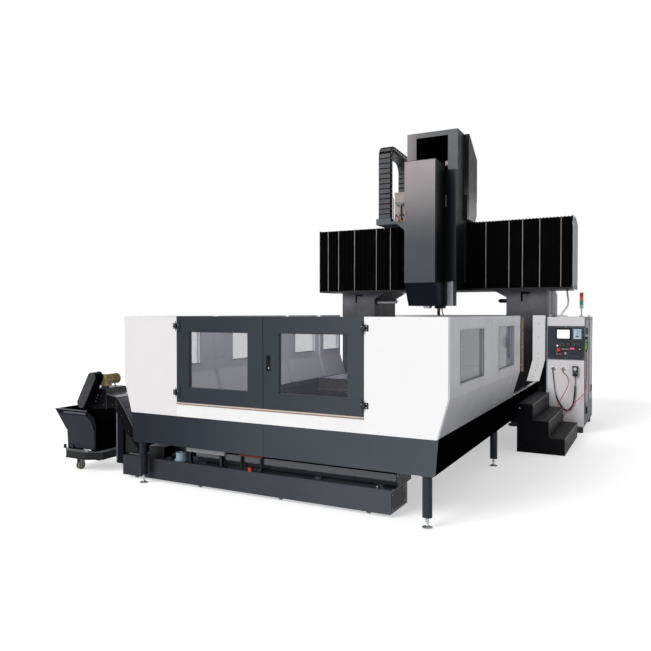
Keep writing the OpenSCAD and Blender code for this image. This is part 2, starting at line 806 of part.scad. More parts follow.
module conveyor_motor() {
    gear_x = [-2455, -2350];
    gear_y1 = conveyor_y[0] + 75;
    axis_x = -2402;
    axis_z = 1098;
    color("darkkhaki") {
        block(gear_x, [conveyor_y[0], gear_y1], [1022, 1158]);
        rod_y(gear_y1, gear_y1 + 132, axis_x, axis_z, 52);
        rod_y(gear_y1 + 132, gear_y1 + 145, axis_x, axis_z, 45);
    }
    color("dimgray") block([gear_x[0] + 10, gear_x[0] + 60], [conveyor_y[0], gear_y1],
        [985, 1022]);
}
module conveyor_leg() {
    post_x = [-2205, -2097];
    color([0.27, 0.3, 0.32]) {
        along_y(conveyor_y[0], conveyor_y[0] + 110)
            polygon([[post_x[0], 130], [post_x[1], 130], [post_x[1], 556], [-2194, 729],
                [post_x[0], 740]]);
        block([post_x[1], tank_x0], [conveyor_y[0] + 15, conveyor_y[0] + 95], [150, 235]);
    }
}

// Chip cart

cart_y = [front_y + 170, front_y + 680];
cart_bottom = 240;
module cart_hopper() {
    t = cart_t;
    color([0.22, 0.25, 0.28]) difference() {
        along_y(cart_y[0], cart_y[1]) polygon([[-3160, cart_top], [-2961, 472],
            [-2946, cart_bottom], [-2480, cart_bottom], [-2478, 560], [-2508, cart_top - 70],
            [-2627, cart_top - 2]]);
        along_y(cart_y[0] + t, cart_y[1] - t) polygon([[-3150, cart_top + 9], [-2952, 471],
            [-2939, cart_bottom + t], [-2486, cart_bottom + t], [-2484, 560],
            [-2484, cart_top + 9]]);
    }
}
module cart_frame() {
    base_z = 150;
    base = [[-2985, 20], [-2890, -80], [-2570, -80], [-2383, 20], [-2383, 510], [-2985, 510]];
    color([0.2, 0.22, 0.24]) difference() {
        translate([0, cart_y[0], 0]) along_z(base_z, cart_bottom) polygon(base);
        for (x = [-2860, -2620]) block([x, x + 110], [cart_y[0] + 60, cart_y[1] + 1],
            [base_z - 1, base_z + 60]);
    }
    caster(-2765, cart_y[0] + 30, 50, base_z);
    for (x = [-2920, -2450]) caster(x, cart_y[1] - 60, 50, base_z);
}

// Stairs at the operator's entry

module stairs() {
    x0 = 1735;
    y0 = front_y + 3616;
    plate_t = 8;
    sheet_t = 5;
    rise = stairs_h / step_count;
    tread = stairs_run / step_count;
    color([0.12, 0.12, 0.13]) {
        for (y = [y0, y0 + stairs_w - plate_t]) along_y(y, y + plate_t) polygon(concat(
            [[x0, 0], [x0, stairs_h]],
            [for (i = [0 : step_count - 1]) for (k = [0, 1])
                [x0 + tread * (i + 1), stairs_h - rise * (i + k)]]));
        for (i = [0 : step_count - 1]) {
            block([x0 + tread * i, x0 + tread * (i + 1)],
                [y0 + plate_t, y0 + stairs_w - plate_t],
                [stairs_h - rise * i - sheet_t, stairs_h - rise * i]);
            block([x0 + tread * (i + 1) - sheet_t, x0 + tread * (i + 1)],
                [y0 + plate_t, y0 + stairs_w - plate_t],
                [max(0, stairs_h - rise * (i + 1) - sheet_t), stairs_h - rise * i - sheet_t]);
        }
    }
}

// Control cabinet with its operator panel

cabinet_y1 = cabinet_front + cabinet_len;
cabinet_door_t = 26;
cabinet_door_y = [cabinet_front + 300, cabinet_y1 - 40];
cabinet_door_z = [cabinet_bottom + 50, cabinet_top - 44];
cabinet_hinge_z = [330, 1600];
module cabinet_hinge_places() {
    for (z = cabinet_hinge_z) translate([cabinet_x1, cabinet_door_y[0], z - hinge_h / 2])
        rotate([0, 0, 90]) children();
}
module control_cabinet() {
    color("whitesmoke") {
        difference() {
            block([cabinet_x0, cabinet_x1], [cabinet_front, cabinet_y1],
                [cabinet_bottom, cabinet_top]);
            block([cabinet_x0 + cabinet_t, cabinet_x1 - cabinet_t],
                [cabinet_front + cabinet_t, cabinet_y1 - cabinet_t],
                [cabinet_bottom + cabinet_t, cabinet_top - cabinet_t]);
            block([cabinet_x1 - cabinet_t - 1, cabinet_x1 + 1], cabinet_door_y, cabinet_door_z);
        }
        rod_z(cabinet_top, cabinet_top + 14, conduit_x, conduit_y, 24);
    }
    color("dimgray") for (x = [cabinet_x0 + 20, cabinet_x1 - 100])
        for (y = [cabinet_front + 40, cabinet_y1 - 160])
            block([x, x + 80], [y, y + 120], [0, cabinet_bottom]);
    color([0.12, 0.12, 0.13]) cabinet_hinge_places() fixed_leaf();
}
module cabinet_door() {
    grip_y = cabinet_door_y[1] - 250;
    color([0.16, 0.18, 0.2]) {
        block([cabinet_x1 - cabinet_door_t, cabinet_x1],
            [cabinet_door_y[0] + door_gap, cabinet_door_y[1] - door_gap],
            [cabinet_door_z[0] + door_gap, cabinet_door_z[1] - door_gap]);
        cabinet_hinge_places() moving_leaf();
    }
    color([0.1, 0.1, 0.1]) {
        block([cabinet_x1, cabinet_x1 + 10], [grip_y, grip_y + 34], [535, 670]);
        block([cabinet_x1 + 10, cabinet_x1 + 22], [grip_y + 6, grip_y + 28], [560, 660]);
    }
}
panel_z = [1158, 1681];
port_x = [102, 248];
port_z = 1012;
port_r = 24;
module operator_panel() {
    x = cabinet_x0;
    y = cabinet_front;
    color([0.14, 0.15, 0.16]) block([x + 20, cabinet_x1], [y - 12, y], panel_z);
    color([0.3, 0.32, 0.35]) block([x + 125, x + 536], [y - 20, y - 12], [1461, 1656]);
    color([0.1, 0.2, 0.4]) block([x + 159, x + 351], [y - 22, y - 20], [1491, 1627]);
    color("black") for (port = port_x) rod_y(y - 26, y, x + port, port_z, port_r);
}
module control_keys() {
    x = cabinet_x0;
    y = cabinet_front - 12;
    color("silver") for (row = [0 : 2]) for (i = [0 : 8]) block([x + 225 + i * 33, x + 247 + i * 33],
        [y - 7, y], [1380 - row * 65, 1402 - row * 65]);
    color("gainsboro") for (row = [0 : 3]) for (i = [0 : 3])
        block([x + 378 + i * 36, x + 404 + i * 36], [y - 12, y - 8],
            [1480 + row * 40, 1508 + row * 40]);
    color("tomato") rod_y(y - 30, y, x + 170, 1300, 25);
    color("gray") for (z = [1300, 1385]) rod_y(y - 22, y, x + 90, z, 20);
}
module tower_light() {
    x = cabinet_x1 - 65;
    y = cabinet_front + 185;
    color("gray") {
        rod_z(cabinet_top, cabinet_top + 10, x, y, 40);
        rod_z(cabinet_top + 10, 1960, x, y, 11);
        rod_z(1960, 2014, x, y, 28);
    }
    color("green") rod_z(2014, 2077, x, y, 28);
    color("orange") rod_z(2077, 2141, x, y, 28);
    color("red") rod_z(2141, 2204, x, y, 28);
    color("gray") rod_z(2204, 2212, x, y, 28);
}
module pendant() {
    x = cabinet_x0 + 398;
    y = cabinet_front;
    color([0.1, 0.1, 0.1]) difference() {
        block([x, x + 74], [y - 50, y - 8], [901, 1035]);
        block([x + 14, x + 60], [y - 51, y - 46], [915, 960]);
    }
    color("white") block([x - 4, x + 78], [y - 54, y - 8], [1035, 1055]);
    color("silver") rod_y(y - 58, y - 46, x + 37, 938, 20);
    color("gray") block([x + 17, x + 57], [y - 8, y], [960, 1040]);
}
// Cords, as points from the cabinet's lower front left corner
pendant_r = [6, 6, 6, 9, 12, 12, 12, 12, 12, 12, 12, 12, 12, 12, 10, 7, 6, 6, 6, 6, 6, 6];
pendant_route = [[435, -29, 901], [435, -29, 860], [436, -28, 800], [434, -28, 740],
    [431, -28, 650], [422, -29, 560], [410, -30, 477], [392, -31, 420], [371, -32, 387],
    [342, -33, 362], [312, -33, 354], [278, -33, 368], [245, -33, 402], [210, -33, 450],
    [181, -32, 505], [155, -32, 570], [138, -30, 640], [124, -26, 740], [114, -21, 840],
    [105, -15, 920], [102, -13, 956], [102, -13, 988]];
module pendant_cord() {
    color([0.1, 0.1, 0.1]) translate([cabinet_x0, cabinet_front, 0])
        cord_tube(pendant_route, pendant_r, 10, [1, 0, 0]);
}
module air_gun() {
    x = cabinet_x1;
    y = cabinet_front + 130;
    color("black") block([x, x + 40], [y - 10, y + 10], [1500, 1512]);
    color("black") block([x + 34, x + 40], [y - 10, y + 10], [1512, 1530]);
    color("forestgreen") block([x + 8, x + 30], [y - 12, y + 12], [1300, 1500]);
    color("forestgreen") block([x + 8, x + 30], [y - 110, y - 12], [1440, 1475]);
    color("silver") rod_y(y - 190, y - 110, x + 19, 1458, 6);
    color("black") rod_z(1270, 1300, x + 19, y, 9);
}
hose_r = 6;
hose_route = [[584, 130, 1270], [584, 130, 1235], [586, 127, 1190], [588, 123, 1130],
    [588, 117, 1060], [587, 107, 960], [586, 85, 850], [585, 50, 760], [583, 12, 700],
    [575, -22, 650], [552, -46, 610], [520, -62, 575], [480, -82, 530], [420, -115, 470],
    [350, -145, 380], [290, -175, 290], [245, -200, 200], [230, -215, 120], [236, -220, 60],
    [260, -220, 22], [300, -205, 8], [340, -175, 6.5], [350, -135, 6.5], [330, -100, 7],
    [290, -78, 12], [245, -75, 34], [210, -85, 80], [190, -100, 160], [180, -110, 260],
    [185, -115, 370], [210, -115, 480], [260, -110, 580], [310, -100, 680], [340, -85, 770],
    [335, -65, 850], [304, -38, 912], [264, -20, 942], [249, -13, 966], [248, -13, 988]];
module air_hose() {
    color("firebrick") translate([cabinet_x0, cabinet_front, 0])
        cord_tube(hose_route, hose_r, 8, [1, 0, 0]);
}
conduit_x = cabinet_x0 + 190;
conduit_top_x = beam_half - 25;
conduit_y = 1040;
conduit_steps = [[1, 2250], [1, 2222], [1.08, 2170], [1.17, 2120], [1.2, 2070], [1.12, 2020],
    [0.92, 1978], [0.64, 1944], [0.34, 1918], [0.13, 1892], [0.03, 1866], [0, 1848], [0, 1838]];
conduit_route = [for (c = conduit_steps)
    [conduit_x + (conduit_top_x - conduit_x) * c[0], conduit_y, c[1]]];
module beam_conduit() {
    color("gainsboro") cord_tube(conduit_route, 14, 10, [1, 0, 0]);
}

// Saddle: cast plate in front of the beam, arm over it, and sheet covers

// End frame of a bellows, shaped like the fold's section
module bellows_frame(x0, x1) {
    y = saddle_y1;
    along_x(x0, x1) polygon([[y, column_top + 52], [800, column_top + 52],
        [800, beam_top + 15], [y + 260, beam_top + 15], [y + 260, beam_top + 65],
        [y + 215, bellows_top + 10], [y, bellows_top + 10]]);
}
module saddle() {
    carriage_x = [-360, 330];
    frame_t = 50;
    color([0.3, 0.31, 0.33]) {
        block([saddle_x0, saddle_x1], [saddle_y0, saddle_y1], [saddle_bottom, saddle_top]);
        along_x(cover_x0 - 76, cover_x1 + 76) polygon([[saddle_y0, saddle_top],
            [hump_y1 - 100, saddle_top], [hump_y1, hump_bottom], [saddle_y0, hump_bottom]]);
        block(carriage_x, [saddle_y1, rail_front - 12], [saddle_bottom + 40, saddle_top - 30]);
    }
    color([0.12, 0.12, 0.13]) {
        bellows_frame(bellows_frame_x, bellows_frame_x + frame_t);
        bellows_frame(saddle_x1 - frame_t, saddle_x1);
        for (z = [2620, 2850, 3020]) block([bellows_frame_x + frame_t, carriage_x[0]],
            [786, rail_front - 12], [z, z + 100]);
    }
    color("silver") for (z = beam_rail_z) for (x = [carriage_x[0] + 20, carriage_x[1] - 280])
        difference() {
            block([x, x + 260], [rail_front - 12, beam_front - 8], [z - 70, z + 70]);
            block([x - 1, x + 261], [rail_front - eps, beam_front],
                [z - rail_w / 2 - eps, z + rail_w / 2 + eps]);
        }
    color([0.24, 0.26, 0.28]) {
        block([chain_x - 147, cover_x0], [cover_front - 8, saddle_y0], [3385, chain_front_end - 60]);
        block([chain_x - 147, chain_x + 120], [cover_front - 8, cover_front + 130],
            [chain_front_end - 60, chain_front_end]);
        block([chain_x - 140, cover_x0 - 76], [1000, 1300], [saddle_top, saddle_top + 30]);
        block([chain_x - 140, chain_x + 120], [1040, 1300], [saddle_top + 30, chain_back_end]);
    }
}
module head_cover() {
    back_y = saddle_y0 - 60;
    color([0.22, 0.24, 0.25]) difference() {
        block([cover_x0, cover_x1], [cover_front, saddle_y0], [cover_bottom, cover_top]);
        block([channel_x0, channel_x1], [cover_front - 1, back_y],
            [cover_bottom - 1, cover_top - 83]);
    }
    color("silver") for (side = [-1, 1]) block([head_x + side * 125 - 22, head_x + side * 125 + 22],
        [back_y - 36, back_y], [cover_bottom + 40, cover_top - 120]);
}
module rear_cover() {
    y0 = saddle_y0 - 12;
    top = cover_top + 1;
    color([0.24, 0.26, 0.27]) difference() {
        along_x(cover_x0 - 76, cover_x1 + 76) polygon([[y0, hump_bottom], [hump_y1, hump_bottom],
            [hump_y1, top - 325], [hump_y1 - 500, top], [y0, top]]);
        block([cover_x0, cover_x1], [y0 - 1, saddle_y0], [hump_bottom - 1, top + 1]);
    }
}

// Drag chain: a straight run down each side and a half circle over the head

module chain_link() {
    half = (chain_pitch - eps) / 2;
    shoulder = half - 7;
    wall = 18;
    difference() {
        rotate([90, 0, 90]) translate([0, 0, -chain_w / 2]) linear_extrude(chain_w)
            polygon([[-half, 0], [-shoulder, chain_h / 2], [shoulder, chain_h / 2], [half, 0],
                [shoulder, -chain_h / 2], [-shoulder, -chain_h / 2]]);
        cube([chain_w - 2 * wall, chain_pitch + 2, chain_h - 2 * wall], center = true);
    }
    for (side = [-1, 1]) translate([side * chain_w / 2, 0, 0]) rotate([0, 90, 0])
        cylinder(h = 6, r = 16, center = true);
}
module drag_chain() {
    step = 180 / bend_links;
    color([0.13, 0.14, 0.15]) translate([chain_x, chain_y, chain_bend_z]) {
        for (i = [0 : bend_links - 1]) rotate([-step * (i + 0.5), 0, 0])
            translate([0, -chain_bend_r, 0]) rotate([90, 0, 0]) chain_link();
        for (i = [0 : chain_front_links - 1]) translate([0, -chain_bend_r, -chain_pitch * (i + 0.5)])
            rotate([90, 0, 0]) chain_link();
        for (i = [0 : chain_back_links - 1]) translate([0, chain_bend_r, -chain_pitch * (i + 0.5)])
            rotate([90, 0, 0]) chain_link();
    }
}

// Ram: slides up and down inside the head cover's channel

module ram() {
    core_x = [head_x - 220, head_x + 220];
    plate_y = [110, 190];
    back_y = saddle_y0 - 60;
    skin_bottom = cover_bottom - 25;
    color([0.2, 0.22, 0.23]) {
        block([cover_x0 + 10, cover_x1 + 2], plate_y, [cover_bottom, ram_top - 75]);
        block(core_x, [plate_y[1], back_y - 50], [cover_bottom + 65, ram_top - 75]);
        for (side = [-1, 1]) for (z = [2500, 3200, 3900]) difference() {
            block([head_x + side * 125 - 60, head_x + side * 125 + 60], [back_y - 50, back_y - 6],
                [z, z + 240]);
            block([head_x + side * 125 - 22 - eps, head_x + side * 125 + 22 + eps],
                [back_y - 36 - eps, back_y], [z - 1, z + 241]);
        }
        difference() {
            along_x(head_x - ram_half, head_x + ram_half)
                polygon([[ram_front, skin_bottom], [ram_front + 190, shoe_bottom],
                    [190, shoe_bottom], [190, cover_bottom], [110, cover_bottom],
                    [110, skin_bottom]]);
            rod_z(shoe_bottom - 1, shoe_bottom + 60, head_x, 0, 45);
        }
    }
    color("silver") rod_z(2000, cover_bottom, head_x + 330, 100, 45);
    color([0.15, 0.15, 0.16]) block([head_x + 170, head_x + 230], [-110, 10],
        [shoe_bottom - 50, shoe_bottom]);
    color("black") for (i = [0 : 2]) rod_z(1845, shoe_bottom - 50, head_x + 184 + i * 16, -50, 7);
}
module ram_cover() {
    color([0.2, 0.22, 0.23]) block([head_x - ram_half, head_x + ram_half], [ram_front, 110],
        [cover_bottom - 25, ram_top]);
}
module spindle() {
    color("silver") translate([head_x, 0, 0]) rotate_extrude() polygon([
        [taper_r, nose_bottom], [nose_r, nose_bottom], [nose_r, nose_bottom + 25],
        [nose_r + 14, nose_bottom + 25], [nose_r + 14, shoe_bottom - 2], [44.95, shoe_bottom - 2],
        [44.95, shoe_bottom + 55], [0, shoe_bottom + 55], [0, nose_bottom + 100],
        [taper_r - 14.5, nose_bottom + 100]]);
}

bed();
bed_pads();
bed_rails();
table_screw();
column_left();
column_right();
crossbeam();
beam_rails();
beam_end_covers();
bellows_left();
bellows_right();
front_panel_left();
front_panel_right();
front_sill();
skirts();
left_wall();
right_wall();
wall_strip();
side_windows();
chip_pan();
rear_wall_left();
rear_wall_right();
rear_panel();
guard_legs();
grab_rail();
door_hinges();
coolant_tank();
tank_casters();
coolant_pump();
conveyor_trough();
conveyor_incline();
conveyor_guard();
conveyor_motor();
conveyor_leg();
cart_hopper();
cart_frame();
stairs();
control_cabinet();
cabinet_door();
operator_panel();
control_keys();
tower_light();
pendant();
pendant_cord();
air_gun();
air_hose();
beam_conduit();
door_left();
door_right();
door_windows_left();
door_windows_right();
table();
table_carriages();
saddle();
head_cover();
rear_cover();
drag_chain();
ram();
ram_cover();
spindle();
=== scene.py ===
import math
import bmesh
import bpy
from mathutils import Matrix, Vector


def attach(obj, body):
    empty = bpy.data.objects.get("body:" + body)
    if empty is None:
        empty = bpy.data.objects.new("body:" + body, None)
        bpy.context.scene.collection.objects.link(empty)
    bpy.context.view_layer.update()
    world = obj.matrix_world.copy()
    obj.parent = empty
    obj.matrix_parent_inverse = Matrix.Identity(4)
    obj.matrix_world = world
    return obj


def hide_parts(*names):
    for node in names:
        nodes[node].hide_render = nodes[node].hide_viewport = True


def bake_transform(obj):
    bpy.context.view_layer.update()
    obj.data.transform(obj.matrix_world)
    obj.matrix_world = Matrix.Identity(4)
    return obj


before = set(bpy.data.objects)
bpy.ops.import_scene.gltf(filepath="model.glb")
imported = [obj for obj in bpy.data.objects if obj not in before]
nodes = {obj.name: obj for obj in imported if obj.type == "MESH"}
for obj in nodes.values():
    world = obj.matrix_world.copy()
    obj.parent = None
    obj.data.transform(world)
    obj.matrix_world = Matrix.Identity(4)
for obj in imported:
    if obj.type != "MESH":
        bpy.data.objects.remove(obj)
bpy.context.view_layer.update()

scene = bpy.context.scene

# Camera: the photograph's place, found from the edges of the guard, doors and beam
camera_data = bpy.data.cameras.new("camera")
camera_data.sensor_width = 36
camera_data.lens = 35.47
camera_data.clip_end = 200
camera = bpy.data.objects.new("camera", camera_data)
camera.location = (3.417, -9.959, 1.881)
camera.rotation_euler = (math.radians(90 - 1.084), 0, math.radians(27.338))
scene.collection.objects.link(camera)
scene.camera = camera


# Materials

def tone(code, k=1.0):
    def lin(v):
        return v / 12.92 if v <= 0.04045 else ((v + 0.055) / 1.055) ** 2.4
    return tuple(min(1.0, lin(int(code[i:i + 2], 16) / 255) * k) for i in (1, 3, 5)) + (1.0,)


class Mat:
    """A node material with small helpers for its graph."""

    def __init__(self, name):
        self.m = bpy.data.materials.new(name)
        self.m.use_nodes = True
        self.t = self.m.node_tree
        self.b = self.t.nodes["Principled BSDF"]
        self.coord = self.t.nodes.new("ShaderNodeTexCoord").outputs["Object"]

    def link(self, a, b):
        self.t.links.new(a, b)

    def node(self, kind, **kw):
        n = self.t.nodes.new(kind)
        for k, v in kw.items():
            setattr(n, k, v)
        return n

    def stretch(self, scale):
        n = self.node("ShaderNodeMapping")
        n.inputs["Scale"].default_value = scale
        self.link(self.coord, n.inputs["Vector"])
        return n.outputs[0]

    def noise(self, scale, detail=3.0, rough=0.55, vector=None):
        n = self.node("ShaderNodeTexNoise")
        n.inputs["Scale"].default_value = scale
        n.inputs["Detail"].default_value = detail
        n.inputs["Roughness"].default_value = rough
        self.link(vector or self.coord, n.inputs["Vector"])
        return n.outputs["Fac"]

    def ramp(self, fac, a, b, lo=0.0, hi=1.0):
        n = self.node("ShaderNodeMapRange", interpolation_type="SMOOTHSTEP")
        for i, v in enumerate((a, b, lo, hi)):
            n.inputs[i + 1].default_value = v
        self.link(fac, n.inputs[0])
        return n.outputs[0]

    def math(self, op, a, b=0.5):
        n = self.node("ShaderNodeMath", operation=op)
        for i, v in enumerate((a, b)):
            if isinstance(v, (int, float)):
                n.inputs[i].default_value = v
            else:
                self.link(v, n.inputs[i])
        return n.outputs[0]

    def mix(self, fac, a, b, kind="MIX"):
        n = self.node("ShaderNodeMix", data_type="RGBA", blend_type=kind)
        if isinstance(fac, (int, float)):
            n.inputs[0].default_value = fac
        else:
            self.link(fac, n.inputs[0])
        for i, v in ((6, a), (7, b)):
            if isinstance(v, tuple):
                n.inputs[i].default_value = v
            else:
                self.link(v, n.inputs[i])
        return n.outputs[2]

    def axis(self, i):
        n = self.node("ShaderNodeSeparateXYZ")
        self.link(self.coord, n.inputs[0])
        return n.outputs[i]

    def edges(self, radius=0.004):
        """1 on sharp outer edges and 0 on flat faces."""
        bev = self.node("ShaderNodeBevel", samples=4)
        bev.inputs["Radius"].default_value = radius
        geo = self.node("ShaderNodeNewGeometry")
        dot = self.node("ShaderNodeVectorMath", operation="DOT_PRODUCT")
        self.link(bev.outputs[0], dot.inputs[0])
        self.link(geo.outputs["Normal"], dot.inputs[1])
        return self.ramp(dot.outputs["Value"], 0.97, 0.75)

    def bump(self, height, distance, strength=1.0):
        n = self.node("ShaderNodeBump")
        n.inputs["Distance"].default_value = distance
        n.inputs["Strength"].default_value = strength
        self.link(height, n.inputs["Height"])
        self.link(n.outputs[0], self.b.inputs["Normal"])


def paint(name, code, rough=0.42, vary=0.05, scale=1.3, peel=0.00025, wear=None, dust=0.0,
          metal=0.0, spec=0.25, coat=0.0, grain=260.0, stretch=None, spots=0.0, along=None):
    """Painted, moulded or bare metal surface: drifting tone, fine bump, edge wear and floor dust."""
    m = Mat(name)
    base = tone(code)
    place = m.stretch(stretch) if stretch else None
    low = m.noise(scale, 4.0, 0.6, place)
    dark = tuple(c * (1 - vary) for c in base[:3]) + (1.0,)
    light = tuple(min(1.0, c * (1 + vary)) for c in base[:3]) + (1.0,)
    col = m.mix(m.ramp(low, 0.3, 0.7), dark, light)
    if along:
        i, lo, hi, code2 = along
        other = m.mix(m.ramp(low, 0.3, 0.7), tone(code2, 1 - vary), tone(code2, 1 + vary))
        col = m.mix(m.ramp(m.axis(i), lo, hi), col, other)
    if spots:
        fine = m.noise(scale * 14, 5.0, 0.7)
        col = m.mix(m.ramp(fine, 0.45, 0.75, 0.0, spots), col, tone(code, 1.9))
    if wear:
        mask = m.math("MULTIPLY", m.edges(), m.ramp(m.noise(24.0, 4.0), 0.42, 0.62))
        col = m.mix(mask, col, tone(wear))
    if dust:
        z = m.ramp(m.axis(2), 0.0, 0.6, dust, 0.0)
        col = m.mix(m.math("MULTIPLY", z, m.ramp(m.noise(9.0, 5.0), 0.35, 0.7)), col, tone("#8b8985"))
    m.link(col, m.b.inputs["Base Color"])
    m.link(m.ramp(m.noise(scale * 6, 3.0, 0.6, place), 0.3, 0.7, rough - 0.06, rough + 0.07),
           m.b.inputs["Roughness"])
    m.b.inputs["Metallic"].default_value = metal
    m.b.inputs["Specular IOR Level"].default_value = 0.5 if metal > 0.5 else spec
    m.b.inputs["Coat Weight"].default_value = coat
    m.bump(m.noise(grain, 2.0, 0.5, place), peel)
    return m.m


def grade(name, i, stops, rough=0.42, vary=0.06, scale=1.6, peel=0.00015, spec=0.2, grain=240.0):
    """Paint whose tone runs along axis i through the stops (place in metres, code)."""
    m = Mat(name)
    a = m.axis(i)
    col = tone(stops[0][1])
    for (p0, _), (p1, code) in zip(stops, stops[1:]):
        n = m.node("ShaderNodeMapRange")
        n.inputs[1].default_value, n.inputs[2].default_value = p0, p1
        m.link(a, n.inputs[0])
        col = m.mix(n.outputs[0], col, tone(code))
    sc = m.node("ShaderNodeVectorMath", operation="SCALE")
    m.link(col, sc.inputs[0])
    m.link(m.ramp(m.noise(scale, 4.0, 0.6), 0.3, 0.7, 1 - vary, 1 + vary), sc.inputs["Scale"])
    m.link(sc.outputs[0], m.b.inputs["Base Color"])
    m.link(m.ramp(m.noise(scale * 5), 0.3, 0.7, rough - 0.05, rough + 0.06), m.b.inputs["Roughness"])
    m.b.inputs["Specular IOR Level"].default_value = spec
    m.bump(m.noise(grain, 2.0), peel)
    return m.m


def brushed(name, code, rough=0.3, way=(1.0, 60.0, 60.0), vary=0.1):
    return paint(name, code, rough, vary, 14.0, 0.00005, metal=0.95, stretch=way)


white = paint("white_paint", "#f4f4f5", 0.36, 0.012, 0.9, 0.00012)
# Painted shade: a greyer copy of the white paint for the left front panel
white_painted_shade_left = paint("white_paint_left_painted_shade", "#e6e4e5", 0.38, 0.015, 0.9, 0.00012)
# Painted shading: the door slate runs darker towards the left
slate = grade("slate_paint_painted_shading", 0, [(-1.3, "#2c3139"), (-0.3, "#343a42"), (0.6, "#3e4349"), (1.2, "#45494e")], 0.4, 0.05, 1.2, spec=0.1)
# Painted shading: the skirt paint runs darker towards the left
skirt_m = grade("skirt_paint_painted_shading", 0, [(-1.7, "#20252d"), (-0.6, "#353b42"), (0.6, "#444a50"), (1.7, "#4e5359")], 0.42, 0.06, 1.0, spec=0.1)
steel_warm = brushed("warm_steel", "#d9d3c6", 0.28)
steel = paint("bare_steel", "#a9abad", 0.34, 0.14, 6.0, 0.0001, metal=0.9)
ground = paint("ground_steel", "#c3c5c7", 0.22, 0.08, 9.0, 0.00003, metal=1.0)
cast = paint("cast_paint", "#2b2d31", 0.5, 0.22, 3.2, 0.0012, wear="#5a5d60", grain=38.0, spots=0.12)
cast_light = paint("cast_light", "#3a3d41", 0.5, 0.16, 3.0, 0.001, grain=38.0, spots=0.1)
black = paint("black_moulding", "#141516", 0.5, 0.2, 5.0, 0.0002)
rubber = paint("rubber", "#18191a", 0.7, 0.25, 7.0, 0.0004)
# Near-black and matt, with no specular, for the chip pan
chip_dark = paint("near_black_pan", "#0c0c0d", 0.5, 0.3, 3.0, 0.0003, spec=0.0)
# Near-black, slightly metallic, with no specular, for the bed rails and table screw
dark_rail = paint("near_black_rail", "#161719", 0.4, 0.2, 6.0, 0.0001, metal=0.3, spec=0.0)
table_m = paint("table_iron", "#4a4038", 0.34, 0.18, 2.2, 0.0002, metal=0.5, spots=0.18)
light_grey = paint("light_grey", "#c9cccf", 0.4, 0.05, 2.0, 0.0002)
mid_grey = paint("mid_grey", "#7c8083", 0.45, 0.08, 3.0, 0.0002)
tank_m = grade("tank_paint", 0, [(-2.0, "#23252b"), (-1.2, "#2c2f36"), (0.0, "#3b3e45"), (1.26, "#494c53")], 0.36, 0.06, 1.6, spec=0.2)
trough_m = paint("trough_paint", "#262a30", 0.2, 0.15, 2.0, 0.0002, spec=0.5, coat=0.3)
incline_m = paint("incline_paint", "#0d0e11", 0.3, 0.2, 2.4, 0.0002, spec=0.25)
# Painted shade: the white right wall is greyed as in shade, darker towards the bottom
shaded_wall_m = grade("wall_paint_painted_shade", 2, [(0.79, "#7a7c81"), (1.1, "#a8a9af"), (1.3, "#c0c1c7"), (1.85, "#c8c9cf")], 0.36, 0.02, 0.9, spec=0.25)
strip_white = paint("strip_paint", "#dededf", 0.38, 0.015, 0.9, 0.00012)
rail_m = paint("rail_brown", "#7a665d", 0.4, 0.1, 8.0, 0.0001)
# Painted shadow: the columns run near black low down under the beam and lighter towards the top
shadowed_column_m = grade("column_paint_painted_shadow", 2, [(0.3, "#131316"), (1.2, "#0f0f11"), (1.6, "#262629"), (1.9, "#555559"), (2.2, "#6f6f74")], 0.5, 0.2, 3.0, 0.0008, spec=0.12, grain=60.0)
khaki = paint("olive_drive", "#8a7c58", 0.45, 0.12, 5.0, 0.0003, wear="#b7ae93")
pump_m = paint("pump_blue", "#9db6c8", 0.4, 0.08, 4.0, 0.0002)
red_m = paint("red_hose", "#b02a25", 0.42, 0.14, 8.0, 0.0003)
stair_m = grade("stair_paint", 0, [(1.735, "#0e0f17"), (2.0, "#131316"), (2.35, "#1c1b1e")], 0.5, 0.2, 2.4, spec=0.06)
cabinet_m = paint("cabinet_paint", "#ecebe8", 0.4, 0.02, 1.0, 0.0001)
panel_m = paint("panel_dark", "#2c2f33", 0.42, 0.08, 3.0, 0.0001)
fallback = paint("plain_grey", "#6b6f72", 0.45, 0.08, 3.0, 0.0002)


def glow(name, code, strength, rough=0.3):
    m = Mat(name)
    col = m.mix(m.ramp(m.noise(40.0), 0.3, 0.7), tone(code, 0.9), tone(code, 1.05))
    m.link(col, m.b.inputs["Base Color"])
    m.link(col, m.b.inputs["Emission Color"])
    m.b.inputs["Emission Strength"].default_value = strength
    m.b.inputs["Roughness"].default_value = rough
    return m.m


def glass(name, code, alpha, alpha_right=None):
    m = Mat(name)
    m.link(m.mix(m.ramp(m.noise(1.4), 0.3, 0.7), tone(code, 0.9), tone(code, 1.1)),
           m.b.inputs["Base Color"])
    m.link(m.ramp(m.noise(3.0), 0.3, 0.7, 0.03, 0.08), m.b.inputs["Roughness"])
    m.b.inputs["Alpha"].default_value = alpha
    m.b.inputs["Specular IOR Level"].default_value = 0.15
    if alpha_right:
        m.link(m.ramp(m.axis(0), -0.1, 0.1, alpha, alpha_right), m.b.inputs["Alpha"])
    m.m.surface_render_method = "BLENDED"
    return m.m


# Glass tint, and a painted reflection: the right-wall panes are more opaque grey than the left
pane_m = glass("window_glass", "#90949d", 0.34, 0.62)
door_pane_m = glass("door_glass", "#c5cadd", 0.04)


# Mesh pieces: every point is in millimetres of the shared frame

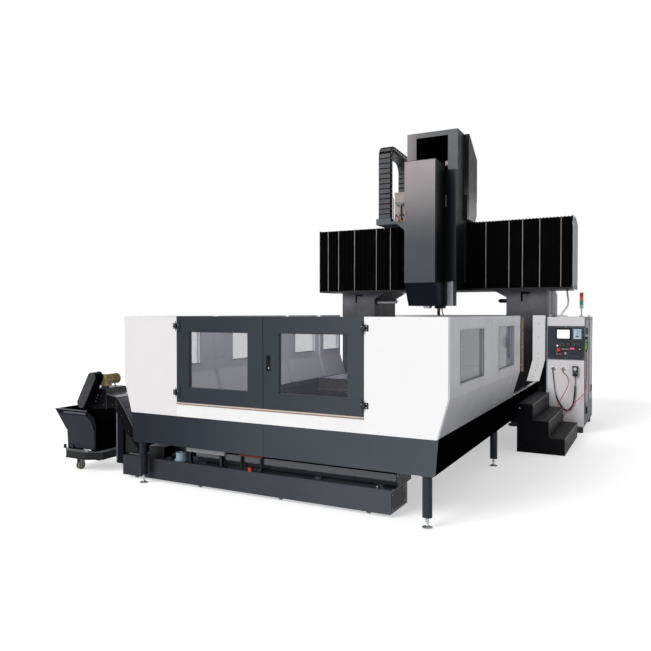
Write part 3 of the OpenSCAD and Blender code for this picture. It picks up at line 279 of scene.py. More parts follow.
class Piece:
    def __init__(self, name, body, *mats):
        self.name, self.body, self.mats = name, body, mats
        self.v, self.f, self.k, self.smooth = [], [], [], []

    def put(self, verts, faces, k=0, smooth=False):
        n = len(self.v)
        self.v += [tuple(c / 1000 for c in p) for p in verts]
        self.f += [tuple(i + n for i in q) for q in faces]
        self.k += [k] * len(faces)
        self.smooth += [smooth] * len(faces)

    def box(self, x, y, z, k=0):
        v = [(a, b, c) for c in z for b in y for a in x]
        self.put(v, [(0, 2, 3, 1), (4, 5, 7, 6), (0, 1, 5, 4), (1, 3, 7, 5), (3, 2, 6, 7), (2, 0, 4, 6)], k)

    def prism(self, axis, a0, a1, pts, k=0, smooth=False):
        def at(a, p):
            return (a, p[0], p[1]) if axis == "x" else (p[0], a, p[1]) if axis == "y" else (p[0], p[1], a)
        n = len(pts)
        v = [at(a0, p) for p in pts] + [at(a1, p) for p in pts]
        self.put(v, [(i, (i + 1) % n, n + (i + 1) % n, n + i) for i in range(n)], k, smooth)
        self.put(v, [tuple(range(n - 1, -1, -1)), tuple(range(n, 2 * n))], k)

    def rod(self, axis, a0, a1, c, r, k=0, n=20, r1=None):
        """Cylinder or cone along axis, with a small rim chamfer."""
        r1 = r if r1 is None else r1
        d = min(1.5, r * 0.15, r1 * 0.15) * (1 if a1 > a0 else -1)
        self.lathe(axis, c, [(a0, 0), (a0, r - abs(d)), (a0 + d, r), (a1 - d, r1), (a1, r1 - abs(d)),
                             (a1, 0)], k, n)

    def lathe(self, axis, c, prof, k=0, n=20):
        def at(a, u, w):
            return (a, c[0] + u, c[1] + w) if axis == "x" else (
                (c[0] + u, a, c[1] + w) if axis == "y" else (c[0] + u, c[1] + w, a))
        v, rings = [], []
        for a, r in prof:
            if r <= 1e-6:
                rings.append([len(v)])
                v.append(at(a, 0, 0))
            else:
                rings.append(list(range(len(v), len(v) + n)))
                v += [at(a, r * math.cos(2 * math.pi * i / n), r * math.sin(2 * math.pi * i / n))
                      for i in range(n)]
        f = []
        for p, q in zip(rings, rings[1:]):
            for i in range(n):
                j = (i + 1) % n
                if len(p) == 1 and len(q) > 1:
                    f.append((p[0], q[i], q[j]))
                elif len(q) == 1 and len(p) > 1:
                    f.append((p[i], q[0], p[j]))
                elif len(p) > 1:
                    f.append((p[i], q[i], q[j], p[j]))
        self.put(v, f, k, True)

    def tube(self, pts, r, k=0, n=8):
        """Round tube along pts. r is one radius or one for each point."""
        pts = [Vector(p) for p in pts]
        rs = r if isinstance(r, (list, tuple)) else [r] * len(pts)
        side = None
        v = []
        for i, p in enumerate(pts):
            t = (pts[min(i + 1, len(pts) - 1)] - pts[max(i - 1, 0)]).normalized()
            if side is None:
                side = t.orthogonal()
            side = (side - side.dot(t) * t).normalized()
            up = t.cross(side)
            v += [tuple(p + rs[i] * (math.cos(2 * math.pi * a / n) * side + math.sin(2 * math.pi * a / n) * up))
                  for a in range(n)]
        f = [(i * n + a, i * n + (a + 1) % n, (i + 1) * n + (a + 1) % n, (i + 1) * n + a)
             for i in range(len(pts) - 1) for a in range(n)]
        self.put(v, f, k, True)
        self.put(v, [tuple(range(n - 1, -1, -1)), tuple((len(pts) - 1) * n + a for a in range(n))], k)

    def screw(self, axis, a, c, r=6.0, out=-1, k=0, h=3.5):
        """Socket or hexagon head standing on the plane axis = a, pointing to out."""
        self.lathe(axis, c, [(a, 0), (a, r), (a + out * h * 0.7, r), (a + out * h, r * 0.72),
                             (a + out * h * 0.5, r * 0.4), (a + out * h * 0.5, 0)], k, 12)

    def frame(self, axis, a0, a1, outer, inner, k=0):
        """Rectangular ring between two rectangles ((u0, u1), (w0, w1))."""
        (ou, ow), (iu, iw) = outer, inner
        def seg(u, w):
            pts = [(u[0], w[0]), (u[1], w[0]), (u[1], w[1]), (u[0], w[1])]
            self.prism(axis, a0, a1, pts, k)
        seg(ou, (ow[0], iw[0]))
        seg(ou, (iw[1], ow[1]))
        seg((ou[0], iu[0]), iw)
        seg((iu[1], ou[1]), iw)

    def done(self, bevel=0.0, turn=None):
        mesh = bpy.data.meshes.new(self.name)
        mesh.from_pydata(self.v, [], self.f)
        for m in self.mats:
            mesh.materials.append(m)
        for p, k, s in zip(mesh.polygons, self.k, self.smooth):
            p.material_index = k
            p.use_smooth = s
        bm = bmesh.new()
        bm.from_mesh(mesh)
        bmesh.ops.recalc_face_normals(bm, faces=bm.faces)
        bm.to_mesh(mesh)
        bm.free()
        obj = bpy.data.objects.new(self.name, mesh)
        scene.collection.objects.link(obj)
        if bevel:
            b = obj.modifiers.new("bevel", "BEVEL")
            b.width = bevel / 1000
            b.segments = 2
            b.limit_method = "ANGLE"
            b.angle_limit = math.radians(38)
        if self.body:
            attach(obj, self.body)
        return obj


def zones(name, default, parts, vary=0.06, scale=2.0, peel=0.00015, grain=200.0):
    """Several finishes on one node: (code, roughness, metallic[, specular]), a part adds its limits."""
    m = Mat(name)
    xyz = m.node("ShaderNodeSeparateXYZ")
    m.link(m.coord, xyz.inputs[0])

    def lerp(mask, a, b):
        n = m.node("ShaderNodeMix", data_type="FLOAT")
        m.link(mask, n.inputs[0])
        for i, v in ((2, a), (3, b)):
            if isinstance(v, float):
                n.inputs[i].default_value = v
            else:
                m.link(v, n.inputs[i])
        return n.outputs[0]

    def full(finish):
        return finish if len(finish) > 3 else tuple(finish) + (0.5 if finish[2] > 0.5 else 0.2,)

    def shade(code):
        if isinstance(code, str):
            return tone(code)
        i, stops = code
        new = tone(stops[0][1])
        for (p0, _), (p1, c) in zip(stops, stops[1:]):
            n = m.node("ShaderNodeMapRange")
            n.inputs[1].default_value, n.inputs[2].default_value = p0, p1
            m.link(xyz.outputs[i], n.inputs[0])
            new = m.mix(n.outputs[0], new, tone(c))
        return new

    code, rough, metal, spec = full(default)
    col = shade(code)
    for finish, limits in parts:
        code, r, k, sp = full(finish)
        mask = None
        for ax, (lo, hi) in limits.items():
            for op, v in (("GREATER_THAN", lo), ("LESS_THAN", hi)):
                if v is None:
                    continue
                one = m.math(op, xyz.outputs["xyz".index(ax)], v)
                mask = one if mask is None else m.math("MULTIPLY", mask, one)
        col = m.mix(mask, col, shade(code))
        rough = lerp(mask, rough, r)
        metal = lerp(mask, metal, k)
        spec = lerp(mask, spec, sp)
    drift = m.ramp(m.noise(scale, 4.0, 0.6), 0.3, 0.7, 1 - vary, 1 + vary)
    scaled = m.node("ShaderNodeVectorMath", operation="SCALE")
    m.link(col, scaled.inputs[0]) if not isinstance(col, tuple) else None
    m.link(drift, scaled.inputs["Scale"])
    m.link(scaled.outputs[0], m.b.inputs["Base Color"])
    m.link(m.math("ADD", rough, m.ramp(m.noise(scale * 6), 0.3, 0.7, -0.05, 0.06)), m.b.inputs["Roughness"])
    m.link(metal, m.b.inputs["Metallic"])
    m.link(spec, m.b.inputs["Specular IOR Level"])
    m.bump(m.noise(grain, 2.0), peel)
    return m.m


silver = ("#b9bcbf", 0.25, 0.9)
dark = ("#17181a", 0.5, 0.0)
legs_m = zones("leg_paint", ((0, ((-1.7, "#161c24"), (1.7, "#2d333a"))), 0.42, 0.0, 0.15), [(silver, {"z": (None, 0.0935)})])
tower_m = zones("tower_stack", ("#9aa0a3", 0.35, 0.3), [
    (("#1f8a74", 0.25, 0.0), {"z": (2.0145, 2.0768)}), (("#d0642c", 0.25, 0.0), {"z": (2.0772, 2.1408)}),
    (("#c9302c", 0.25, 0.0), {"z": (2.1412, 2.2038)})])
pump_zone = zones("pump_group", ("#9db6c8", 0.4, 0.0), [
    (("#0c0d10", 0.45, 0.0), {"x": (-1.71, -1.47)}), (("#8c9092", 0.45, 0.0), {"x": (-1.71, -1.47), "z": (0.3795, None)}),
    (("#0f1013", 0.45, 0.0), {"x": (-1.12, -0.6)}), (("#a9adae", 0.4, 0.0), {"x": (-1.12, -0.6), "z": (0.3845, None)}),
    (("#141213", 0.4, 0.0), {"x": (-0.45, -0.1)}), (("#8e2f2a", 0.4, 0.0), {"x": (-0.45, -0.1), "z": (0.4, None)})])
motor_m = zones("drive_group", ("#8a7c58", 0.45, 0.1), [(("#3c4043", 0.5, 0.0), {"z": (None, 1.0225)})])
pendant_m = zones("pendant_shell", ("#101113", 0.45, 0.0, 0.15), [(dark, {"z": (None, 0.9)})])
gun_m = zones("air_gun_shell", ("#1b1d1c", 0.4, 0.0), [
    (("#3f9a3c", 0.35, 0.0), {"z": (1.3002, 1.47), "x": (2.4225, None)}),
    (silver, {"y": (None, 0.785)})])
sill_m = zones("sill", ("#f1f1f1", 0.38, 0.0), [(("#8a7a70", 0.4, 0.2), {"z": (0.9165, None)}), (("#c9bdb3", 0.35, 0.3), {"z": (0.929, None)})], 0.02)
# Painted shade: the skirt runs darker towards the left, and its right side and inner faces are near black where shade
# falls; the top lip is silver
skirt_zone = zones("skirt_zones_painted_shade", ((0, ((-1.72, "#1b1f27"), (-1.2, "#252a33"), (-0.8, "#2e333c"), (-0.4, "#393f46"), (0.8, "#474c52"), (1.72, "#4e5359"))), 0.42, 0.0, 0.1), [
    (("#050506", 0.6, 0.0, 0.0), {"x": (1.69, None), "y": (-4.6, None)}),
    (("#0d0e10", 0.6, 0.0, 0.0), {"y": (-4.585, 3.43), "x": (-1.69, 1.69)}), (silver, {"z": (0.7905, None)})], 0.06, 1.0)
# Painted shade: near-black zones on the saddle's lower rear and lower left side; the hump zone is light grey with
# painted shading, lighter low down
saddle_m = zones("saddle_paint_painted_shade", ("#232529", 0.5, 0.0, 0.15), [
    (("#030304", 0.8, 0.0, 0.05), {"y": (0.735, None), "z": (None, 3.431), "x": (-0.71, 0.56)}),
    (("#020203", 0.8, 0.0, 0.05), {"x": (None, -0.4805), "z": (None, 3.384)}),
    (((2, ((3.45, "#c4bec0"), (3.62, "#a39fa0"), (3.8, "#6d6a6a"))), 0.45, 0.0), {"x": (0.6, None), "z": (3.4405, None)}),
    (("#a09894", 0.45, 0.1), {"x": (None, -0.3785), "y": (0.9995, None), "z": (3.4395, None)}),
    (("#5c6064", 0.42, 0.0), {"x": (None, -0.3), "y": (None, 0.62), "z": (3.3845, 3.4885)})], 0.1, 3.0, 0.0005, 45.0)
# Painted shadow: the ram plate beside the ram cover runs near black towards the cover, where its shadow falls; the
# faces inside the head are near black as painted shade
ram_m = zones("ram_paint_painted_shadow", ("#14181e", 0.45, 0.0, 0.12), [
    (((0, ((0.36, "#020203"), (0.43, "#07090c"), (0.47, "#141b28"), (0.53, "#31343a"), (0.556, "#4d4b4b"))), 0.42, 0.0, 0.12), {"x": (0.37, None), "y": (None, 0.1105), "z": (2.3855, None)}),
    (("#020202", 0.9, 0.0, 0.0), {"y": (0.1995, None)}),
    (silver, {"x": (0.4, None), "z": (None, 2.3855), "y": (0.02, 0.2)}),
    (("#151b23", 0.42, 0.0, 0.15), {"z": (2.0, 2.36), "y": (None, 0.3), "x": (-0.13, 0.38)}),
    (dark, {"z": (None, 2.0075)})], 0.05, 1.5)
# Painted shade and reflection: the head runs darker towards the bottom, its front face lighter towards the left, and
# the faces inside the top opening are near black
head_m = zones("head_paint", ((2, ((2.4, "#060707"), (3.1, "#101114"), (3.9, "#1f2024"), (4.85, "#222428"))), 0.45, 0.0, 0.1), [
    (((0, ((-0.30, "#918c8e"), (-0.1, "#6d6c6e"), (0.4, "#5f6265"), (0.55, "#65696c"))), 0.42, 0.0, 0.2), {"y": (None, 0.2005)}),
    (("#020202", 0.9, 0.0, 0.0), {"y": (0.2008, 0.56), "x": (-0.1425, 0.3925)})], 0.05, 1.2)
# Painted light: the rear cover runs lighter low down and darker towards the top
rear_cover_m = grade("rear_cover_painted_light", 2, [(3.85, "#6f6a69"), (4.0, "#454342"), (4.2, "#2c2c2e"), (4.85, "#222427")], 0.45, 0.12, 2.5, spec=0.1)
cabinet_zone = zones("cabinet_paint", ("#dbd9dc", 0.4, 0.0), [
    (("#16181b", 0.45, 0.0), {"x": (2.4145, None)}), (("#5f666f", 0.4, 0.0), {"x": (2.4145, None), "y": (0.885, 1.5), "z": (0.42, 1.79)}),
    (("#989a9d", 0.4, 0.0), {"x": (2.4145, None), "y": (1.6, None), "z": (0.42, None)}), (("#3a3d40", 0.5, 0.0), {"z": (None, 0.0995)}),
    (("#2a2d30", 0.5, 0.0), {"x": (1.86, 2.405), "y": (0.77, 2.15), "z": (0.101, 1.82)})], 0.02)
side_door_m = zones("side_door", ("#5f666f", 0.38, 0.05), [
    (("#464c53", 0.45, 0.0), {"y": (1.47, 1.61)}), (("#989a9d", 0.4, 0.0), {"y": (1.606, None)}),
    (("#2f3437", 0.45, 0.0), {"z": (None, 0.42)})], 0.05)
cart_zone = zones("cart_base", ("#111318", 0.42, 0.0), [
    (("#85888a", 0.5, 0.0), {"z": (0.2395, 0.2405)}), (("#8b887d", 0.45, 0.1), {"z": (None, 0.1495)})], 0.15)
# Painted highlight: the hopper's top rim faces are lighter grey
hopper_m = zones("hopper_paint_painted_highlight", ("#050506", 0.6, 0.0, 0.0), [
    (((0, ((-3.1, "#11121a"), (-2.8, "#0c0e18"), (-2.5, "#0f1119"))), 0.4, 0.0, 0.03), {"y": (None, -4.4795)}),
    (("#55585e", 0.4, 0.0), {"z": (0.7115, None)})], 0.12, 3.0)
guard_zone = zones("chain_guard_paint", ("#050506", 0.45, 0.0, 0.03), [
    (((2, ((0.76, "#191b1e"), (1.0, "#2c2f32"), (1.19, "#34373a"))), 0.4, 0.0, 0.08), {"y": (None, -4.5445)})], 0.08, 3.0)
incline_zone = zones("incline_zone", ("#1d2025", 0.22, 0.0, 0.5), [
    (("#09090c", 0.45, 0.0, 0.03), {"y": (None, -4.4245)}), (("#09090c", 0.45, 0.0, 0.03), {"y": (-4.0855, None)})], 0.12, 3.0)
leg_paint = zones("leg_zone", ("#050507", 0.5, 0.0, 0.0), [(("#0c0e15", 0.45, 0.0, 0.04), {"y": (None, -4.4245)})], 0.12, 3.0)
gauge_m = zones("panel_face", ("#33373c", 0.4, 0.0), [
    (("#1b1e22", 0.35, 0.0), {"z": (1.4605, 1.6565), "y": (None, 0.752)})], 0.05)
# Painted reflection and shade: the front lightens towards the top, the right side runs near black towards the back,
# and the top is lighter
ram_cover_m = zones("ram_cover_painted_reflection", ("#15171a", 0.45, 0.0, 0.1), [
    (((2, ((2.4, "#484d51"), (3.0, "#4c5054"), (3.25, "#5c5e60"), (3.5, "#787678"), (3.8, "#938e90"), (4.2, "#a69d9f"))), 0.4, 0.0, 0.2), {"y": (None, -0.4095)}),
    (((1, ((-0.41, "#2b2e33"), (-0.33, "#14161a"), (-0.25, "#040405"))), 0.45, 0.0, 0.08), {"x": (0.3735, None)}),
    (("#75716f", 0.45, 0.0, 0.2), {"z": (4.2595, None)})], 0.05, 1.4)
bellows_m = paint("bellows_cloth", "#050506", 0.85, 0.3, 2.0, 0.0003, grain=90.0, spec=0.03)
band_m = paint("bellows_band", "#a39b93", 0.4, 0.12, 3.0, 0.0001, metal=0.4)
screen_m = glow("screen", "#f4f7fa", 0.9)
pink_m = glow("display", "#e0457a", 0.5)
blue_key = paint("blue_panel", "#a9c4d8", 0.4, 0.08, 20.0, 0.0001)
red_paint = paint("red_button", "#cf3a2c", 0.3, 0.08, 20.0, 0.0001)
green_paint = paint("green_button", "#2f9a4e", 0.3, 0.08, 20.0, 0.0001)
orange_m = paint("orange_hose", "#c8672a", 0.4, 0.12, 20.0, 0.0002)
brown_m = paint("brown_hose", "#4d372c", 0.5, 0.12, 20.0, 0.0002)
gold_m = paint("brass", "#b8923f", 0.3, 0.12, 30.0, 0.0001, metal=0.9)
key_m = paint("key_caps", "#d7dadb", 0.4, 0.06, 30.0, 0.0001)

chain_m = paint("chain_plastic", "#47494d", 0.42, 0.15, 9.0, 0.0002)
chain_side = paint("chain_side", "#0a0b0c", 0.5, 0.25, 9.0, 0.0002, spec=0.12)
light_arm = paint("arm_paint", "#a39b97", 0.45, 0.08, 2.0, 0.0003)
slate_mid = paint("bracket_paint", "#5c6064", 0.42, 0.08, 2.0, 0.0003)
# Painted shade: near-black matt for the bed, the gaps of the column recesses and the sheets beside the head
painted_shade_black = paint("painted_shade_black", "#030304", 0.85, 0.3, 4.0, 0.0002, spec=0.03)
head_line = paint("seam_dark", "#0d0e10", 0.6, 0.2, 9.0, 0.0001, spec=0.1)
rear_line = paint("seam_light", "#8b8887", 0.45, 0.1, 9.0, 0.0001)
silver_line = paint("milled_silver", "#aeb0bb", 0.3, 0.28, 16.0, 0.00005, metal=0.55, stretch=(9.0, 9.0, 0.2))
dark_steel = paint("dark_steel", "#3b3d3b", 0.45, 0.15, 6.0, 0.0001, metal=0.3)
navy_hose = paint("navy_hose", "#14161f", 0.45, 0.2, 20.0, 0.0002)
# Painted highlight for the slot on the ram's side; also the small cap on the ram's top plate
strip_m = paint("bright_strip_painted_highlight", "#c9c7bb", 0.35, 0.08, 20.0, 0.0001)
# Light grey casting with painted shading: lighter low down, darker towards the top
hump_m = grade("hump_paint_painted_shading", 2, [(3.45, "#c4bec0"), (3.62, "#a39fa0"), (3.82, "#6d6a6a")], 0.45, 0.1, 2.5)

panel_face = paint("panel_lower", "#36393e", 0.45, 0.08, 6.0, 0.0001, spec=0.15)
bezel_m = paint("bezel", "#15171b", 0.35, 0.15, 12.0, 0.0001, spec=0.2)
line_m = paint("outline_grey", "#777c82", 0.4, 0.1, 20.0, 0.0001)
knob_m = paint("knob_grey", "#8e959c", 0.4, 0.1, 30.0, 0.0001)
edge_blue = paint("cabinet_edge", "#98a3b3", 0.4, 0.05, 2.0, 0.0001)
cabinet_low = paint("cabinet_rear", "#c9c8ca", 0.42, 0.05, 2.0, 0.0001)
seal_m = paint("door_seal", "#0f1013", 0.6, 0.2, 8.0, 0.0003, spec=0.1)
white_key = paint("pendant_plate", "#dcdcdd", 0.35, 0.05, 20.0, 0.0001)
rib_m = paint("tread_ribs", "#1b1b1e", 0.45, 0.25, 7.0, 0.0002, spec=0.1, wear="#4a4a4c")
stair_edge = paint("stair_edge", "#1d1d20", 0.4, 0.2, 5.0, 0.0001, spec=0.25)
lamp_m = glow("lamp", "#e6f6e8", 0.8)

black_paint = paint("black_paint", "#0a0b0d", 0.4, 0.2, 5.0, 0.0002, spec=0.15)
# Painted highlight: lighter grey on rim folds and flange edges, also on some screws
edge_highlight_grey = paint("highlight_edge_paint", "#4b4e53", 0.4, 0.2, 9.0, 0.0002, spec=0.3)
gloss_m = paint("gloss_sheet", "#3a3e45", 0.16, 0.2, 1.5, 0.0001, spec=0.5, coat=0.4)
slate_dark = paint("guard_face", "#2d3033", 0.38, 0.12, 3.0, 0.0002, wear="#5d6063")
navy_plate = paint("navy_plate", "#141823", 0.4, 0.2, 4.0, 0.0003, spec=0.2)
wheel_m = paint("wheel_grey", "#87857a", 0.45, 0.12, 12.0, 0.0002)
ochre = paint("ochre_metal", "#a58d6c", 0.42, 0.25, 14.0, 0.0003, wear="#d8c7a8")
table_edge = paint("table_edge", "#5a4c44", 0.35, 0.2, 6.0, 0.0002, metal=0.3)
inner = zones("inner_paint", ("#f4f6ff", 0.42, 0.0), [(("#fafaff", 0.4, 0.0), {"x": (-1.7902, None)})], 0.03, 1.0)
table_zone = zones("table_paint", ("#2b2523", 0.45, 0.0, 0.12), [(("#9294a0", 0.3, 0.5), {"z": (0.9425, None)})], 0.15, 2.2)

glazing_m = paint("glazing_strip", "#4a5056", 0.5, 0.1, 7.0, 0.0002, spec=0.15)
rubber_light = paint("window_strip", "#a7a9b0", 0.5, 0.1, 7.0, 0.0002)
fixing_m = paint("painted_screws", "#d9dadc", 0.4, 0.05, 9.0, 0.0001)
duct_m = paint("duct_light", "#747881", 0.42, 0.1, 3.0, 0.0002)
duct_dark = paint("duct_dark", "#33363f", 0.42, 0.12, 3.0, 0.0002)
gun_green = paint("gun_green", "#55a83a", 0.35, 0.1, 20.0, 0.0001)

by_node = dict(
    bed=painted_shade_black, bed_pads=mid_grey, bed_rails=dark_rail, table_screw=dark_rail, column_left=shadowed_column_m,
    column_right=shadowed_column_m, crossbeam=cast, beam_rails=ground, beam_end_covers=panel_m,
    bellows_left=bellows_m, bellows_right=bellows_m, front_panel_left=white_painted_shade_left,
    front_panel_right=white, front_sill=sill_m, skirts=skirt_zone, left_wall=inner,
    right_wall=shaded_wall_m, wall_strip=strip_white, side_windows=pane_m, chip_pan=chip_dark,
    rear_wall_left=white, rear_wall_right=white, rear_panel=white, guard_legs=legs_m,
    grab_rail=rail_m, door_hinges=black_paint, coolant_tank=tank_m, tank_casters=mid_grey,
    coolant_pump=pump_zone, conveyor_trough=trough_m, conveyor_incline=incline_zone, conveyor_guard=guard_zone,
    conveyor_motor=motor_m, conveyor_leg=leg_paint, cart_hopper=hopper_m, cart_frame=cart_zone,
    stairs=stair_m, control_cabinet=cabinet_zone, cabinet_door=side_door_m, operator_panel=gauge_m,
    control_keys=light_grey, tower_light=tower_m, pendant=pendant_m, pendant_cord=rubber,
    air_gun=gun_m, air_hose=red_m, beam_conduit=light_grey, door_left=slate, door_right=slate,
    door_windows_left=door_pane_m, door_windows_right=door_pane_m, table=table_zone,
    table_carriages=mid_grey, saddle=saddle_m, head_cover=head_m, rear_cover=rear_cover_m,
    drag_chain=rubber, ram=ram_m, ram_cover=ram_cover_m, spindle=ground)
for name, obj in nodes.items():
    mats = obj.data.materials
    for i in range(len(mats)):
        mats[i] = by_node.get(name, fallback)
    if not len(mats):
        mats.append(by_node.get(name, fallback))

# Cords repeat the routes of part.scad, from the cabinet's lower front left corner
cab_x, cab_y = 1850, 765


def from_cabinet(route):
    return [(cab_x + x, cab_y + y, z) for x, y, z in route]


pendant_route = from_cabinet([
    (435, -29, 901), (435, -29, 860), (436, -28, 800), (434, -28, 740),
    (431, -28, 650), (422, -29, 560), (410, -30, 477), (392, -31, 420), (371, -32, 387),
    (342, -33, 362), (312, -33, 354), (278, -33, 368), (245, -33, 402), (210, -33, 450),
    (181, -32, 505), (155, -32, 570), (138, -30, 640), (124, -26, 740), (114, -21, 840),
    (105, -15, 920), (102, -13, 956), (102, -13, 988)])
hose_route = from_cabinet([
    (584, 130, 1270), (584, 130, 1235), (586, 127, 1190), (588, 123, 1130),
    (588, 117, 1060), (587, 107, 960), (586, 85, 850), (585, 50, 760), (583, 12, 700),
    (575, -22, 650), (552, -46, 610), (520, -62, 575), (480, -82, 530), (420, -115, 470),
    (350, -145, 380), (290, -175, 290), (245, -200, 200), (230, -215, 120), (236, -220, 60),
    (260, -220, 22), (300, -205, 8), (340, -175, 6.5), (350, -135, 6.5), (330, -100, 7),
    (290, -78, 12), (245, -75, 34), (210, -85, 80), (190, -100, 160), (180, -110, 260),
    (185, -115, 370), (210, -115, 480), (260, -110, 580), (310, -100, 680), (340, -85, 770),
    (335, -65, 850), (304, -38, 912), (264, -20, 942), (249, -13, 966), (248, -13, 988)])
conduit_route = [(2040 + 85 * k, 1040, z) for k, z in (
    (1, 2250), (1, 2222), (1.08, 2170), (1.17, 2120), (1.2, 2070), (1.12, 2020), (0.92, 1978),
    (0.64, 1944), (0.34, 1918), (0.13, 1892), (0.03, 1866), (0, 1848), (0, 1838))]


def smooth(route, k=4):
    """Points of a curve through the route's points, k to a span."""
    out = []
    n = len(route)
    for i in range(n - 1):
        a, b, c, d = (Vector(route[max(0, min(n - 1, i + o))]) for o in (-1, 0, 1, 2))
        for s in range(k):
            t = s / k
            out.append(tuple(0.5 * ((2 * b) + (c - a) * t + (2 * a - 5 * b + 4 * c - d) * t * t
                                    + (3 * b - a - 3 * c + d) * t ** 3)))
    out.append(tuple(route[-1]))
    return out


def hose(name, node, route, r, mats, ribs=0.0, **facts):
    """A hose or cable that replaces its CAD node. ribs is the depth of its corrugation."""
    p = Piece(name, "frame", *mats)
    fine = smooth(route, 4 if not ribs else 8)
    radii = [r * (1.0 + (ribs if i % 2 else -ribs)) for i in range(len(fine))] if ribs else r
    p.tube(fine, radii, 0, 10)
    obj = p.done()
    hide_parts(node)
    return obj


hose("hose_to_air_gun", "air_hose", hose_route, 6.0, [red_m], stiffness="medium", lay="hanging")
hose("beam_cable_conduit", "beam_conduit", conduit_route, 14.0, [light_grey], 0.05,
     stiffness="stiff", lay="hanging")

# The pendant's cable: a thick braided stretch at its bend, a thin lead to the port
fine = smooth(pendant_route, 4)
thick = []
for i in range(len(fine)):
    at = i / 4
    thick.append(6.0 if at < 3 or at > 15 else 11.6 + (0.4 if i % 2 else -0.5))
p = Piece("pendant_lead", "frame", rubber)
p.tube(fine, thick, 0, 12)
lead = p.done()
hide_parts("pendant_cord")

# Doors: glazing rubbers, hinge screws, flush handle
fy = -4650
for side, body, wx in (("left", "door_left", (-938, -203)), ("right", "door_right", (163, 898))):
    p = Piece("door_glazing_" + side, body, glazing_m, black, ground)
    wz = (1100, 1690)
    p.frame("y", fy + 8, fy + 13.5, ((wx[0] + 0.4, wx[1] - 0.4), (wz[0] + 0.4, wz[1] - 0.4)),
            ((wx[0] + 4, wx[1] - 4), (wz[0] + 4, wz[1] - 4)))
    p.frame("y", fy + 22.5, fy + 26, ((wx[0] + 0.4, wx[1] - 0.4), (wz[0] + 0.4, wz[1] - 0.4)),
            ((wx[0] + 6, wx[1] - 6), (wz[0] + 6, wz[1] - 6)))
    hx = -1105 if side == "left" else 1065
    out = 1 if side == "left" else -1
    for z in (1045, 1748):
        p.box(tuple(sorted((hx + out * 15, hx + out * 31))), (fy - 9, fy - 7.8), (z - 27, z + 27), 1)
        p.screw("y", fy - 9, (hx + out * 23, z + 12), 4.5, -1, 2)
    p.done(0.8)
p = Piece("hinge_plates", "frame", black_paint, ground)
for hx, out in ((-1105, -1), (1065, 1)):
    for z in (1045, 1748):
        p.box(tuple(sorted((hx + out * 6, hx + out * 42))), (fy - 8, fy), (z - 28, z + 28))
        for a, b in ((-28, -10), (10, 28)):
            p.lathe("z", (hx, fy - 14), [(z + a, 0), (z + a, 9), (z + b, 9), (z + b, 0)], 0, 20)
        p.lathe("z", (hx, fy - 14), [(z - 50, 0), (z - 50, 4), (z + 50, 4), (z + 50, 0)], 0, 12)
        for dz in (-15, 15):
            p.screw("y", fy - 8, (hx + out * 27, z + dz), 5, -1, 1)
obj = p.done(0.8)
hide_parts("door_hinges")
p = Piece("door_handle", "door_right", black_paint, ground)
p.frame("y", fy - 4.5, fy - 2.8, ((21, 65), (1315, 1472)), ((32, 54), (1328, 1459)))
p.prism("x", 33, 53, [(fy + 3, 1345), (fy + 3, 1425), (fy - 1, 1432), (fy - 1.5, 1338)])
p.box((33, 53), (fy + 3, fy + 16), (1340, 1430))
p.rod("y", fy + 3, fy - 3.5, (47, 1346), 8.5, 1)
p.box((46, 48), (fy - 4.2, fy - 3.2), (1341, 1351), 0)
p.done(1.5)

# Side windows: rubber frames on both faces of the walls
p = Piece("window_rubbers", "frame", rubber_light)
for sx, spans in ((1, ((381, 1269), (1966, 2827))),
                  (-1, ((381, 1269), (1966, 2827), (3691, 4392), (4640, 5300)))):
    for y0, y1 in spans:
        y = (fy + y0, fy + y1)
        for x0, x1 in ((sx * 1844.3, sx * 1847.5), (sx * 1790.5, sx * 1793.6)):
            p.frame("x", x0, x1, ((y[0] - 5, y[1] + 5), (1235, 1735)),
                    ((y[0] + 5, y[1] - 5), (1245, 1725)))
p.done(1.0)

# Guard: screws on the strip by the entry, and fixings
p = Piece("strip_screws", "frame", mid_grey)
for x, z in ((1728, 1240), (1735, 1158), (1706, 1055), (1692, 966), (1655, 865), (1735, 1500), (1735, 1720)):
    p.screw("y", 714.5, (x, z), 7.5, -1, 0, 4)
p.done()
p = Piece("guard_fixings", "frame", fixing_m, black)
for x in (-1600, -1250, 1210, 1600):
    for z in (815, 1828):
        p.screw("y", fy - 0.2, (x, z), 5, -1)
for y in range(-4480, -1450, 430):
    p.screw("x", 1844.2, (y, 1800), 5, 1)
    p.screw("x", -1844.2, (y, 1800), 5, -1)
for y in (1201, 1430, 1681):
    p.lathe("y", (1830, y), [(-1423, 0), (-1423, 24), (-1417, 24), (-1412, 14), (-1412, 0)], 1, 20)
p.done()

# Legs: flanges at the skirt and locking nuts
p = Piece("leg_flanges", "frame", skirt_m, ground)
for sx in (-1, 1):
    for y in (-4579, -2010, 625, 2040, 3429):
        p.lathe("z", (sx * 1641, y), [(467.5, 0), (467.5, 62), (458, 62), (456, 46), (456, 0)], 0, 28)
        p.lathe("z", (sx * 1641, y), [(62, 0), (62, 19), (72, 19), (72, 0)], 1, 6)
        p.lathe("z", (sx * 1641, y), [(22, 0), (22, 15), (34, 11), (34, 0)], 1, 20)
p.done(1.0)

# Way covers: folded cloth with stiffener bands, between the beam's end and the saddle


